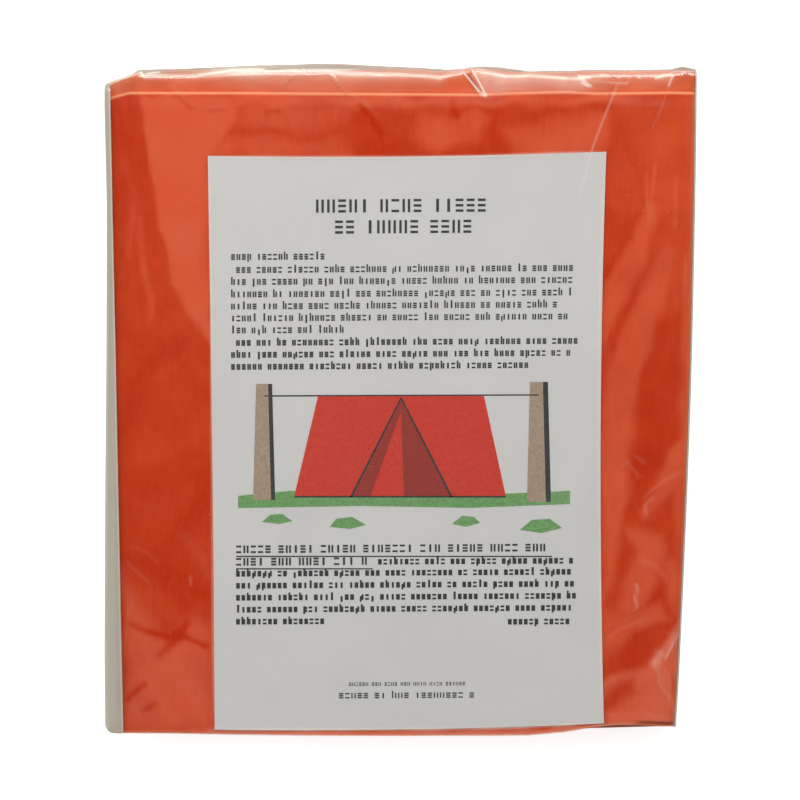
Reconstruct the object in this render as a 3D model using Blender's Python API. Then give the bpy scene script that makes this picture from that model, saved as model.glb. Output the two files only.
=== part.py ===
"""Emergency tube tent, folded and packed in a clear film bag with its set-up leaflet.

The pack lies on its back. +Z comes out of its front face, +Y points to the bag's mouth, and the
origin is the centre of the pack's underside. All sizes are in metres.
"""

import math

import bmesh
import bpy
from mathutils import Matrix, Vector

# Tent: a seamless film tube, laid flat, folded lengthwise into a strip, then to and fro
TUBE_LENGTH = 2.4384
TUBE_FLAT_WIDTH = 1.8288
TUBE_FILM = 0.00005
TRAPPED_AIR = 0.00002
LEAF_PLAY = 0.0003
FRONT_LEAF_LENGTH = 0.2275
DEEP_FOLD_RISE = 0.0070
STRIP_WIDTH = 0.2046
STRIP_TAPER = 0.0081
STRIP_LEAN = 0.00135
BEND_STEPS = 6
EDGE_STEPS = 4

# Film bag: a folded and side-welded sheet
FILM = 0.0002
LAYER_PLAY = 0.0003
LEFT_MARGIN_AT_TOP = 0.0026
LEFT_MARGIN_AT_BOTTOM = 0.0079
RIGHT_MARGIN = 0.0020
BOTTOM_ROOM = 0.0004
BOTTOM_CORNER_RADIUS = 0.0015
MOUTH_WALL_SETBACK = 0.0020
SIDE_STEPS = 10

# Flap over the mouth, with the lip that sticks to the back wall
FLAP_START_PAST_FOLD = 0.0004
FLAP_SHOULDER_HEIGHT = 0.0080
END_ROOM = 0.0026
CREASE_RADIUS = 0.0010
CREASE_PLAY = 0.0003
SHOULDER_STEPS = 6
CORNER_STEPS = 3
LIP_LENGTH = 0.0380
STEP_LENGTH = 0.0020
STEP_PAST_LIP = 0.0010

# Adhesive strip on the lip
ADHESIVE_THICKNESS = 0.00015
ADHESIVE_WIDTH = 0.0190
ADHESIVE_FROM_LIP_EDGE = 0.0040
ADHESIVE_END_MARGIN = 0.0060

# Leaflet
LEAFLET_THICKNESS = 0.00015
LEAFLET_WIDTH = 0.1397
LEAFLET_LENGTH = 0.2032
LEAFLET_OFFSET_X = 0.0038
LEAFLET_ABOVE_BOTTOM = 0.0033
LEAFLET_TURN = math.radians(0.35)

# Places along the pack, from its bottom to its top end
STACK_LENGTH = FRONT_LEAF_LENGTH + DEEP_FOLD_RISE
PACK_LENGTH = FILM + BOTTOM_ROOM + STACK_LENGTH + END_ROOM + FILM
PACK_BOTTOM = -PACK_LENGTH / 2
PACK_TOP = PACK_LENGTH / 2
STACK_BOTTOM = PACK_BOTTOM + FILM + BOTTOM_ROOM
DEEP_FOLD_Y = STACK_BOTTOM + STACK_LENGTH
FRONT_FOLD_Y = STACK_BOTTOM + FRONT_LEAF_LENGTH
FLAP_CREASE_Y = FRONT_FOLD_Y + FLAP_START_PAST_FOLD
LIP_CREASE_Y = PACK_TOP - FILM / 2 - CREASE_RADIUS - CREASE_PLAY / 2
LIP_EDGE_Y = LIP_CREASE_Y - LIP_LENGTH
BACK_MOUTH_Y = FLAP_CREASE_Y + MOUTH_WALL_SETBACK
BOTTOM_WALL_END_Y = PACK_BOTTOM + FILM / 2 + BOTTOM_CORNER_RADIUS + CREASE_PLAY

# The strip's thickness, and the half turn that joins one leaf to the next
LAYERS_PER_LEAF = 2 * round(TUBE_FLAT_WIDTH / STRIP_WIDTH)
LEAF_THICKNESS = LAYERS_PER_LEAF * (TUBE_FILM + TRAPPED_AIR)
LEAF_PITCH = LEAF_THICKNESS + LEAF_PLAY
BEND_OUTSIDE = LEAF_PLAY / 2 + LEAF_THICKNESS
BEND_LENGTH = math.pi * LEAF_PITCH / 2


def fold_place(leaf):
    """Y of the outside of the fold at the end of a leaf, counted from the front leaf."""
    if leaf % 2:
        return STACK_BOTTOM
    return DEEP_FOLD_Y if leaf else FRONT_FOLD_Y


def leaf_ends():
    """Y of the far end of each leaf's straight run, until the strip's length is used up."""
    ends = []
    place = STACK_BOTTOM
    left = TUBE_LENGTH
    while left > BEND_LENGTH:
        leaf = len(ends)
        heading = -1 if leaf % 2 else 1
        run = abs(fold_place(leaf) - heading * BEND_OUTSIDE - place)
        run = min(run, left)
        place += heading * run
        ends.append(place)
        left -= run + BEND_LENGTH
    return ends


LEAF_ENDS = leaf_ends()
LEAF_COUNT = len(LEAF_ENDS)

# Heights of the layers, from the surface that the pack lies on
ADHESIVE_Z = FILM + LAYER_PLAY
RAISED_BACK_Z = ADHESIVE_Z + ADHESIVE_THICKNESS + LAYER_PLAY
STACK_Z = RAISED_BACK_Z + FILM + LAYER_PLAY
STACK_HEIGHT = LEAF_COUNT * LEAF_PITCH - LEAF_PLAY
STACK_TOP = STACK_Z + STACK_HEIGHT
LEAFLET_Z = STACK_TOP + LAYER_PLAY
FRONT_Z = LEAFLET_Z + LEAFLET_THICKNESS + LAYER_PLAY
PACK_HEIGHT = FRONT_Z + FILM


def strip_edge_unshifted(side, y):
    """X of the folded strip's left (-1) or right (1) edge, before the pack is centred."""
    fall = (DEEP_FOLD_Y - y) / STACK_LENGTH
    width = STRIP_WIDTH - fall * STRIP_TAPER
    return side * width / 2 - fall * STRIP_LEAN


def margin(side, y):
    """How far the bag's welded edge stands out past the strip."""
    if side > 0:
        return RIGHT_MARGIN
    rise = (y - STACK_BOTTOM) / STACK_LENGTH
    return LEFT_MARGIN_AT_BOTTOM + rise * (LEFT_MARGIN_AT_TOP - LEFT_MARGIN_AT_BOTTOM)


def weld_edge_unshifted(side, y):
    """X of the bag's welded edge, before the pack is centred."""
    return strip_edge_unshifted(side, y) + side * margin(side, y)


SIDE_ENDS = (PACK_BOTTOM + FILM + CREASE_PLAY, DEEP_FOLD_Y)
PACK_RIGHT = max(weld_edge_unshifted(1, y) for y in SIDE_ENDS)
PACK_LEFT = min(weld_edge_unshifted(-1, y) for y in SIDE_ENDS)
CENTRE_X = (PACK_LEFT + PACK_RIGHT) / 2


def strip_edge(side, y):
    """X of the folded strip's edge in the pack."""
    return strip_edge_unshifted(side, y) - CENTRE_X


def weld_edge(side, y):
    """X of the bag's welded edge in the pack."""
    return weld_edge_unshifted(side, y) - CENTRE_X


def make_material(name, colour, roughness, metallic=0.0, alpha=1.0):
    """A Principled material of one colour."""
    material = bpy.data.materials.new(name)
    material.use_nodes = True
    shader = material.node_tree.nodes["Principled BSDF"]
    shader.inputs["Base Color"].default_value = (*colour, 1.0)
    shader.inputs["Roughness"].default_value = roughness
    shader.inputs["Metallic"].default_value = metallic
    shader.inputs["Alpha"].default_value = alpha
    return material


def make_object(name, bm, material, parent, axis=Vector()):
    """An object of the mesh, with its origin on axis, parented and shaded smooth."""
    bmesh.ops.recalc_face_normals(bm, faces=bm.faces)
    bmesh.ops.translate(bm, verts=bm.verts, vec=-axis)
    mesh = bpy.data.meshes.new(name)
    bm.to_mesh(mesh)
    bm.free()
    mesh.materials.append(material)
    mesh.shade_smooth()
    mesh.set_sharp_from_angle(angle=math.radians(40))
    made = bpy.data.objects.new(name, mesh)
    bpy.context.collection.objects.link(made)
    made.parent = parent
    return made


def make_axis(name, place, parent=None):
    """An empty on a joint's axis, which carries the pieces that move with the joint."""
    empty = bpy.data.objects.new(name, None)
    empty.location = place
    bpy.context.collection.objects.link(empty)
    if parent is not None:
        empty.location = place - parent.matrix_world.translation
        empty.parent = parent
    bpy.context.view_layer.update()
    return empty


def chain(bm, points):
    """A row of edges through the points."""
    verts = [bm.verts.new(point) for point in points]
    return [bm.edges.new(pair) for pair in zip(verts, verts[1:])]


def sheet_mesh(rows):
    """An open surface lofted through rows of points."""
    bm = bmesh.new()
    line = chain(bm, rows[0])
    for row in rows[1:]:
        following = chain(bm, row)
        bmesh.ops.bridge_loops(bm, edges=line + following)
        line = following
    return bm


def thicken(piece, thickness):
    """Gives a sheet its thickness, half to each side."""
    wall = piece.modifiers.new("wall", "SOLIDIFY")
    wall.thickness = thickness
    wall.offset = 0.0
    wall.use_even_offset = True


def quarter(centre, radii, start, end, steps):
    """Points of an elliptical arc in the YZ plane, as (y, z)."""
    angles = [start + (end - start) * step / steps for step in range(steps + 1)]
    return [
        (centre[0] + radii[0] * math.cos(angle), centre[1] + radii[1] * math.sin(angle))
        for angle in angles
    ]


def across(profile, inset):
    """Two rows, left and right, of a profile of (y, z) points that runs from edge to edge."""
    return [
        [(strip_edge(side, y) - side * inset, y, z) for y, z in profile] for side in (-1, 1)
    ]


def strip_section(bm):
    """The folded strip's cross-section at the front leaf's free end: a bar with round edges."""
    radius = LEAF_THICKNESS / 2
    points = []
    for side in (1, -1):
        middle = strip_edge(side, STACK_BOTTOM) - side * radius
        for step in range(EDGE_STEPS + 1):
            turn = math.pi / 2 - math.pi * step / EDGE_STEPS
            x = middle + side * radius * math.cos(turn)
            z = STACK_TOP - radius + side * radius * math.sin(turn)
            points.append((x, STACK_BOTTOM, z))
    return bm.faces.new([bm.verts.new(point) for point in points])


def pushed(bm, face, inner):
    """Extrudes a face and returns its new end; the face itself ends up inside the piece."""
    made = bmesh.ops.extrude_face_region(bm, geom=[face])["geom"]
    inner.append(face)
    return next(item for item in made if isinstance(item, bmesh.types.BMFace))


def make_tent(material, parent):
    """The tube tent: its long strip is folded to and fro, from the front leaf to the back one."""
    bm = bmesh.new()
    inner = []
    face = strip_section(bm)
    for leaf, end in enumerate(LEAF_ENDS):
        start = face.calc_center_median().y
        face = pushed(bm, face, inner)
        bmesh.ops.translate(bm, verts=face.verts, vec=Vector((0, end - start, 0)))
        if leaf == LEAF_COUNT - 1:
            break
        below = STACK_TOP - LEAF_THICKNESS - LEAF_PLAY / 2 - leaf * LEAF_PITCH
        heading = -1 if leaf % 2 else 1
        turn = Matrix.Rotation(-heading * math.pi / BEND_STEPS, 3, "X")
        for _ in range(BEND_STEPS):
            face = pushed(bm, face, inner)
            bmesh.ops.rotate(bm, verts=face.verts, cent=(0, end, below), matrix=turn)
    for hidden in inner[1:]:
        bm.faces.remove(hidden)
    centre_x = (strip_edge(-1, STACK_BOTTOM) + strip_edge(1, STACK_BOTTOM)) / 2
    for vert in bm.verts:
        side = 1 if vert.co.x > centre_x else -1
        vert.co.x += strip_edge(side, vert.co.y) - strip_edge(side, STACK_BOTTOM)
    return make_object("folded_tent_tube", bm, material, parent)


def make_leaflet(material, parent):
    """The instruction leaflet, lying on the front leaf and turned a little."""
    middle = Vector(
        (LEAFLET_OFFSET_X, STACK_BOTTOM + LEAFLET_ABOVE_BOTTOM + LEAFLET_LENGTH / 2, LEAFLET_Z)
    )
    bm = bmesh.new()
    bmesh.ops.create_cube(bm, size=1)
    bmesh.ops.scale(bm, verts=bm.verts, vec=(LEAFLET_WIDTH, LEAFLET_LENGTH, LEAFLET_THICKNESS))
    bmesh.ops.translate(bm, verts=bm.verts, vec=(0, 0, LEAFLET_THICKNESS / 2))
    turn = Matrix.Rotation(LEAFLET_TURN, 3, "Z")
    bmesh.ops.rotate(bm, verts=bm.verts, cent=(0, 0, 0), matrix=turn)
    bmesh.ops.translate(bm, verts=bm.verts, vec=middle)
    return make_object("instruction_leaflet", bm, material, parent)


def film_sheet(name, rows, material, parent, axis=Vector()):
    """One wall of the bag, lofted through rows of points and thickened to the film."""
    wall = make_object(name, sheet_mesh(rows), material, parent, axis)
    thicken(wall, FILM)
    return wall


def make_front_wall(material, parent):
    """The bag's front wall, flat over the leaflet, from the bottom fold to the flap's crease."""
    z = FRONT_Z + FILM / 2
    profile = [(BOTTOM_WALL_END_Y, z), (FLAP_CREASE_Y - CREASE_PLAY / 2, z)]
    film_sheet("bag_front_wall", across(profile, 0), material, parent)


def make_back_wall(material, parent):
    """The bag's back wall, which steps up where the lip lies under it."""
    low = FILM / 2
    high = RAISED_BACK_Z + FILM / 2
    step_top = LIP_EDGE_Y - STEP_PAST_LIP
    profile = [
        (BOTTOM_WALL_END_Y, low),
        (step_top - STEP_LENGTH, low),
        (step_top, high),
        (BACK_MOUTH_Y, high),
    ]
    film_sheet("bag_back_wall", across(profile, 0), material, parent)


def make_bottom_fold(material, parent):
    """The film's fold at the bottom, round the bottom folds of the stack."""
    radius = BOTTOM_CORNER_RADIUS
    outside = PACK_BOTTOM + FILM / 2
    low = FILM / 2
    high = FRONT_Z + FILM / 2
    back = quarter(
        (outside + radius, low + radius), (radius, radius), 1.5 * math.pi, math.pi, CORNER_STEPS
    )
    front = quarter(
        (outside + radius, high - radius), (radius, radius), math.pi, math.pi / 2, CORNER_STEPS
    )
    film_sheet("bag_bottom_fold", across(back + front, 0), material, parent)


def make_side(name, side, material, parent):
    """The film down one side, bowed out to the welded edge at half the pack's height."""
    low = FILM / 2
    high = FRONT_Z + FILM / 2
    rows = []
    for y in SIDE_ENDS:
        near = strip_edge(side, y) + side * (LAYER_PLAY + FILM / 2)
        far = weld_edge(side, y) - side * FILM / 2
        row = []
        for step in range(SIDE_STEPS + 1):
            share = step / SIDE_STEPS
            out = math.sin(math.pi * share)
            row.append((near + out * (far - near), y, low + share * (high - low)))
        rows.append(row)
    film_sheet(name, rows, material, parent)


def make_flap(material, parent):
    """The flap over the mouth: from its crease on the front wall, round the end of the stack."""
    top = FRONT_Z + FILM / 2
    outside = PACK_TOP - FILM / 2
    shoulder_depth = outside - FLAP_CREASE_Y
    shoulder = quarter(
        (FLAP_CREASE_Y, top - FLAP_SHOULDER_HEIGHT),
        (shoulder_depth, FLAP_SHOULDER_HEIGHT),
        math.pi / 2,
        0,
        SHOULDER_STEPS,
    )
    shoulder[0] = (FLAP_CREASE_Y + CREASE_PLAY / 2, top)
    corner = quarter(
        (outside - CREASE_RADIUS, FILM / 2 + CREASE_RADIUS),
        (CREASE_RADIUS, CREASE_RADIUS),
        0,
        -math.pi / 2,
        CORNER_STEPS,
    )
    axis = parent.matrix_world.translation
    film_sheet("bag_end_flap", across(shoulder + corner, 0), material, parent, axis)


def make_lip(material, parent):
    """The lip, which lies on the back wall and ends in a straight cut edge."""
    z = FILM / 2
    profile = [(LIP_CREASE_Y - CREASE_PLAY / 2, z), (LIP_EDGE_Y, z)]
    axis = parent.matrix_world.translation
    film_sheet("bag_lip", across(profile, 0), material, parent, axis)


def make_adhesive(material, parent):
    """The adhesive strip along the lip, between the lip and the back wall."""
    near_edge = LIP_EDGE_Y + ADHESIVE_FROM_LIP_EDGE
    z = ADHESIVE_Z + ADHESIVE_THICKNESS / 2
    rows = across([(near_edge, z), (near_edge + ADHESIVE_WIDTH, z)], ADHESIVE_END_MARGIN)
    axis = parent.matrix_world.translation
    strip = make_object("adhesive_strip", sheet_mesh(rows), material, parent, axis)
    thicken(strip, ADHESIVE_THICKNESS)


def clear_scene():
    """Removes whatever the scene holds."""
    for item in list(bpy.data.objects):
        bpy.data.objects.remove(item)


def main():
    """Builds the pack."""
    clear_scene()
    orange = make_material("orange_polyethylene", (0.52, 0.06, 0.018), 0.35)
    film = make_material("clear_film", (0.86, 0.86, 0.84), 0.12, alpha=0.35)
    paper = make_material("white_paper", (0.60, 0.60, 0.58), 0.8)
    adhesive = make_material("adhesive", (0.80, 0.78, 0.68), 0.5)

    bag = make_axis("bag", Vector())
    make_front_wall(film, bag)
    make_back_wall(film, bag)
    make_bottom_fold(film, bag)
    make_side("bag_left_side", -1, film, bag)
    make_side("bag_right_side", 1, film, bag)

    flap_axis = make_axis("flap_axis", Vector((0, FLAP_CREASE_Y, PACK_HEIGHT)), bag)
    make_flap(film, flap_axis)
    lip_axis = make_axis("lip_axis", Vector((0, LIP_CREASE_Y, 0)), flap_axis)
    make_lip(film, lip_axis)
    make_adhesive(adhesive, lip_axis)

    make_leaflet(paper, bag)
    make_tent(orange, bag)


main()
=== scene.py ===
"""Looks of a packed emergency tube tent: folded orange film and a leaflet in a clear film bag."""

import logging
import math
import random
from dataclasses import dataclass, field
from enum import Enum

import bmesh
import bpy
import numpy as np
from mathutils import Matrix, Vector


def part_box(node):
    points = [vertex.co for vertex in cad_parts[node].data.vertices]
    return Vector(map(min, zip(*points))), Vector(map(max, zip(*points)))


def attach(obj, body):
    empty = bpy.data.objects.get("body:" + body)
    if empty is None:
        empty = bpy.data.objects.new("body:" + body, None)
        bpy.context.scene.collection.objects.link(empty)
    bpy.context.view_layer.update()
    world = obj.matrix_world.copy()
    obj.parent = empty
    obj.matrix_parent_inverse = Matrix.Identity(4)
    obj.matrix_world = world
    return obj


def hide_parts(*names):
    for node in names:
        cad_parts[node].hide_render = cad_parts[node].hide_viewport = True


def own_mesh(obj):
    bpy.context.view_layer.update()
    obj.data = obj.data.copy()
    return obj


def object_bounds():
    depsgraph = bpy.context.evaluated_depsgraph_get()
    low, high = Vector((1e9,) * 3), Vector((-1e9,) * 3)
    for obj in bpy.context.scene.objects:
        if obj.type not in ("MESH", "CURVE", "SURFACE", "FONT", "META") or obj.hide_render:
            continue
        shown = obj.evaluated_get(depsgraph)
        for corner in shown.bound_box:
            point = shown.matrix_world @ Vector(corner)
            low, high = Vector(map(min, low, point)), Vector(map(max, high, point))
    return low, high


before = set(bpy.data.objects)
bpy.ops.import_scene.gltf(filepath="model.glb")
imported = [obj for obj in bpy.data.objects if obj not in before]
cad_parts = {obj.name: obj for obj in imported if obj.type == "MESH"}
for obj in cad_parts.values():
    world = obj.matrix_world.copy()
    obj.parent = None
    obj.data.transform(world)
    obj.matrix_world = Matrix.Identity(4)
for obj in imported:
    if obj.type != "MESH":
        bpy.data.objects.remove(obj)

CAD_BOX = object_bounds()
LOG = logging.getLogger("tube_tent")
NOTHING = 1e-12
SHARP_ANGLE = math.radians(50)


class Body(Enum):
    """The bodies that the frame's joints move."""

    BAG = "bag"
    FLAP = "flap"
    LIP = "lip"
    LEAFLET = "leaflet"
    TENT = "tent"


class Slot(Enum):
    """The record's material slots; no piece in this script takes one."""

    TENT_FILM = "tent_film"
    BAG_FILM = "bag_film"
    PAPER = "paper"


def linear(hex_colour: str) -> tuple[float, float, float, float]:
    """Turns an sRGB hex colour to linear values.

    Args:
        hex_colour: six hex digits with a leading hash sign.

    Returns:
        Red, green, blue and an alpha of one.
    """
    shares = [int(hex_colour[i : i + 2], 16) / 255 for i in (1, 3, 5)]
    values = [s / 12.92 if s <= 0.04045 else ((s + 0.055) / 1.055) ** 2.4 for s in shares]
    return (values[0], values[1], values[2], 1.0)


def add_node(
    tree: bpy.types.NodeTree, kind: str, inputs: dict | None = None, **settings
) -> bpy.types.Node:
    """Adds a node with its settings and its inputs.

    Args:
        tree: the node tree to add to.
        kind: the node's type name.
        inputs: for each input's name or index, a value, a socket to link from, or a node whose first
            output in use is linked.
        **settings: properties of the node.

    Returns:
        The node.
    """
    node = tree.nodes.new(kind)
    for name, value in settings.items():
        setattr(node, name, value)
    for key, value in (inputs or {}).items():
        if isinstance(value, bpy.types.Node):
            value = next(socket for socket in value.outputs if socket.enabled)
        if isinstance(value, bpy.types.NodeSocket):
            tree.links.new(value, node.inputs[key])
        else:
            node.inputs[key].default_value = value
    return node


def blank_material(name: str) -> tuple[bpy.types.Material, bpy.types.NodeTree]:
    """Makes a material without any node.

    Args:
        name: the material's name.

    Returns:
        The material and its node tree.
    """
    material = bpy.data.materials.new(name)
    material.use_nodes = True
    material.node_tree.nodes.clear()
    return material, material.node_tree


def per_metre(size_mm: float) -> float:
    """A noise scale whose features are about size_mm across, for Object coordinates in metres."""
    return 1000.0 / size_mm


@dataclass(frozen=True)
class PolyethyleneTube:
    """Pigmented blown polyethylene film: satin and a little waxy; painted paler for light and sheen, paler
    still at whitened and lit folds, and painted darker for shade.
    """

    name: str = "orange_polyethylene_film"
    colour: str = "#BE2F0A"
    # Colours that paint light and shade: a paler orange for painted light and sheen, cream for whitened and
    # lit folds and the front fold's painted highlight, dark brown for painted shade
    painted_light_colour: str = "#D85228"
    whitened_and_lit_colour: str = "#FFAA78"
    fold_highlight_colour: str = "#FFEBD9"
    shade_colour: str = "#4A170C"
    roughness: float = 0.36
    cloud_mm: float = 30.0
    streak_mm: float = 1.3
    streak_share: float = 0.16
    streak_depth: float = 0.09
    crinkle_mm: float = 2.2
    fold_highlight_start: float = 0.75

    def build(self) -> bpy.types.Material:
        """Builds the material; its attributes say where light, sheen and fold highlights are painted paler and
        where shade is painted darker.
        """
        material, tree = blank_material(self.name)
        place = add_node(tree, "ShaderNodeTexCoord").outputs["Object"]
        painted_light, whitened_and_lit, shade = (
            add_node(tree, "ShaderNodeAttribute", attribute_name=name).outputs["Fac"]
            for name in ("painted_light", "whitened_and_lit", "shade")
        )
        clouds = add_node(
            tree, "ShaderNodeTexNoise",
            {"Vector": place, "Scale": per_metre(self.cloud_mm), "Detail": 7.0, "Distortion": 1.6},
        )
        mottle = add_node(
            tree, "ShaderNodeMapRange",
            {"Value": clouds, "From Min": 0.32, "From Max": 0.72, "To Min": -0.16, "To Max": 0.26},
        )
        drawn = add_node(tree, "ShaderNodeMapping", {"Vector": place, "Scale": (1.0, self.streak_share, 1.0)})
        streaks = add_node(
            tree, "ShaderNodeTexNoise",
            {"Vector": drawn, "Scale": per_metre(self.streak_mm), "Detail": 4.0, "Distortion": 0.8},
        )
        depth = self.streak_depth
        fine = add_node(
            tree, "ShaderNodeMapRange",
            {"Value": streaks, "From Min": 0.3, "From Max": 0.7, "To Min": -depth, "To Max": depth},
        )
        varied = add_node(tree, "ShaderNodeMath", {0: mottle, 1: fine}, operation="ADD")
        # The painted light and sheen, with random mottle and streaks, sets how much paler orange is mixed in
        paler = add_node(tree, "ShaderNodeMath", {0: painted_light, 1: varied}, operation="ADD", use_clamp=True)
        # Where the fold value is highest, at the front fold, a cream painted highlight is mixed in
        fold_highlight = add_node(tree, "ShaderNodeMapRange", {"Value": whitened_and_lit, "From Min": self.fold_highlight_start})
        colour = linear(self.colour)
        for share, tint in (
            (paler, self.painted_light_colour),
            (whitened_and_lit, self.whitened_and_lit_colour),
            (fold_highlight, self.fold_highlight_colour),
            (shade, self.shade_colour),
        ):
            colour = add_node(
                tree, "ShaderNodeMix", {"Factor": share, "A": colour, "B": linear(tint)}, data_type="RGBA"
            )
        crinkle = add_node(
            tree, "ShaderNodeTexNoise",
            {"Vector": place, "Scale": per_metre(self.crinkle_mm), "Detail": 2.0},
        )
        bump = add_node(
            tree, "ShaderNodeBump", {"Height": crinkle, "Strength": 0.10, "Distance": 0.0003}
        )
        gloss = add_node(
            tree, "ShaderNodeMapRange",
            {"Value": clouds, "To Min": self.roughness - 0.06, "To Max": self.roughness + 0.10},
        )
        shader = add_node(
            tree, "ShaderNodeBsdfPrincipled",
            {
                "Base Color": colour,
                "Roughness": gloss,
                "Normal": bump,
                "IOR": 1.5,
                "Specular IOR Level": 0.05,
            },
        )
        add_node(tree, "ShaderNodeOutputMaterial", {"Surface": shader})
        return material


@dataclass(frozen=True)
class ClearFilm:
    """Blown low-density polyethylene: clear and glossy, milky where it lies in two layers or is seen edge-on;
    its haze also paints glints, pale lines and reflections, and a greyer milk paints shade.
    """

    name: str = "clear_bag_film"
    # The haze's colour, which also paints glints and pale lines, and a greyer milk that paints shade on the
    # margins, the crest, the end and the lip
    milk: str = "#FAEAD9"
    shaded_milk: str = "#AEA798"
    milk_roughness: float = 0.5
    gloss_roughness: float = 0.07
    optical_index: float = 1.55
    edge_haze: float = 0.30
    edge_power: float = 4.0
    face_on_share: float = 0.25
    face_on: float = 0.25
    side_on: float = 0.60
    shadow_share: float = 0.35
    wrinkle_mm: float = 6.0
    dust_mm: float = 0.9

    def build(self) -> bpy.types.Material:
        """Builds the material: see-through, with a mirror layer and a milky layer over it."""
        material, tree = blank_material(self.name)
        place = add_node(tree, "ShaderNodeTexCoord").outputs["Object"]
        haze_and_glint, painted_grey, side = (
            add_node(tree, "ShaderNodeAttribute", attribute_name=name).outputs["Fac"]
            for name in ("haze_and_glint", "painted_grey", "side")
        )
        wrinkles = add_node(
            tree, "ShaderNodeTexNoise",
            {"Vector": place, "Scale": per_metre(self.wrinkle_mm), "Detail": 2.5, "Distortion": 1.2},
        )
        bump = add_node(
            tree, "ShaderNodeBump", {"Height": wrinkles, "Strength": 0.12, "Distance": 0.0006}
        )
        index = add_node(
            tree, "ShaderNodeMapRange",
            {
                "Value": add_node(tree, "ShaderNodeNewGeometry").outputs["Backfacing"],
                "To Min": self.optical_index,
                "To Max": 1 / self.optical_index,
            },
        )
        gloss = add_node(tree, "ShaderNodeFresnel", {"IOR": index, "Normal": bump})
        clear = add_node(tree, "ShaderNodeBsdfTransparent")
        mirror = add_node(
            tree, "ShaderNodeBsdfGlossy",
            {"Color": linear("#FFFFFF"), "Roughness": self.gloss_roughness, "Normal": bump},
        )
        pane = add_node(tree, "ShaderNodeMixShader", {"Fac": gloss, 1: clear, 2: mirror})
        # A greyer milk is mixed in as painted shade
        colour = add_node(
            tree, "ShaderNodeMix",
            {"Factor": painted_grey, "A": linear(self.milk), "B": linear(self.shaded_milk)}, data_type="RGBA",
        )
        milk = add_node(
            tree, "ShaderNodeBsdfPrincipled",
            {
                "Base Color": colour,
                "Roughness": self.milk_roughness,
                "Specular IOR Level": 0.2,
                "Normal": bump,
            },
        )
        # Film at the pack's sides is milky from in front, where it is steep, and clearer from beside it
        turned = add_node(tree, "ShaderNodeLayerWeight", {"Blend": 0.5}).outputs["Facing"]
        through = add_node(
            tree, "ShaderNodeMapRange",
            {
                "Value": turned,
                "From Min": self.face_on,
                "From Max": self.side_on,
                "To Min": self.face_on_share,
            },
        )
        left = add_node(tree, "ShaderNodeMix", {"Factor": side, "A": 1.0, "B": through})
        # The haze attribute holds the film's milkiness together with painted glints, pale lines and
        # reflections
        haze = add_node(tree, "ShaderNodeMath", {0: haze_and_glint, 1: left}, operation="MULTIPLY")
        steep = add_node(tree, "ShaderNodeMath", {0: turned, 1: self.edge_power}, operation="POWER")
        long_way = add_node(tree, "ShaderNodeMath", {0: steep, 1: self.edge_haze}, operation="MULTIPLY")
        dust = add_node(
            tree, "ShaderNodeTexNoise",
            {"Vector": place, "Scale": per_metre(self.dust_mm), "Detail": 1.0},
        )
        specks = add_node(
            tree, "ShaderNodeMapRange",
            {"Value": dust, "From Min": 0.72, "From Max": 0.80, "To Max": 0.10},
        )
        cast = add_node(
            tree, "ShaderNodeMapRange",
            {
                "Value": add_node(tree, "ShaderNodeLightPath").outputs["Is Shadow Ray"],
                "To Min": 1.0,
                "To Max": self.shadow_share,
            },
        )
        for other, operation, clamped in (
            (long_way, "ADD", False), (specks, "ADD", True), (cast, "MULTIPLY", False)
        ):
            haze = add_node(
                tree, "ShaderNodeMath", {0: haze, 1: other}, operation=operation, use_clamp=clamped
            )
        film = add_node(tree, "ShaderNodeMixShader", {"Fac": haze, 1: pane, 2: milk})
        add_node(tree, "ShaderNodeOutputMaterial", {"Surface": film})
        return material


@dataclass(frozen=True)
class UncoatedPaper:
    """Uncoated offset paper: matt, faintly grained and mottled."""

    name: str = "uncoated_paper"
    colour: str = "#D2D1CE"
    mottle_colour: str = "#C8C7C4"
    roughness: float = 0.85
    mottle_mm: float = 24.0
    grain_mm: float = 0.35

    def build(self) -> bpy.types.Material:
        """Builds the material."""
        material, tree = blank_material(self.name)
        place = add_node(tree, "ShaderNodeTexCoord").outputs["Object"]
        mottle = add_node(
            tree, "ShaderNodeTexNoise",
            {"Vector": place, "Scale": per_metre(self.mottle_mm), "Detail": 4.0},
        )
        colour = add_node(
            tree, "ShaderNodeMix",
            {"Factor": mottle, "A": linear(self.colour), "B": linear(self.mottle_colour)}, data_type="RGBA",
        )
        grain = add_node(
            tree, "ShaderNodeTexNoise",
            {"Vector": place, "Scale": per_metre(self.grain_mm), "Detail": 3.0},
        )
        bump = add_node(
            tree, "ShaderNodeBump", {"Height": grain, "Strength": 0.25, "Distance": 0.00005}
        )
        shader = add_node(
            tree, "ShaderNodeBsdfPrincipled",
            {"Base Color": colour, "Roughness": self.roughness, "Normal": bump},
        )
        add_node(tree, "ShaderNodeOutputMaterial", {"Surface": shader})
        return material


@dataclass(frozen=True)
class OffsetInk:
    """Offset ink soaked into paper: matt, a little uneven in its cover."""

    name: str
    colour: str
    thin_colour: str
    roughness: float = 0.7
    cover_mm: float = 0.8

    def build(self) -> bpy.types.Material:
        """Builds the material."""
        material, tree = blank_material(self.name)
        place = add_node(tree, "ShaderNodeTexCoord").outputs["Object"]
        cover = add_node(
            tree, "ShaderNodeTexNoise",
            {"Vector": place, "Scale": per_metre(self.cover_mm), "Detail": 2.0},
        )
        thin = add_node(
            tree, "ShaderNodeMapRange", {"Value": cover, "From Min": 0.35, "From Max": 0.75}
        )
        colour = add_node(
            tree, "ShaderNodeMix",
            {"Factor": thin, "A": linear(self.colour), "B": linear(self.thin_colour)}, data_type="RGBA",
        )
        shader = add_node(
            tree, "ShaderNodeBsdfPrincipled", {"Base Color": colour, "Roughness": self.roughness}
        )
        add_node(tree, "ShaderNodeOutputMaterial", {"Surface": shader})
        return material


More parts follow.
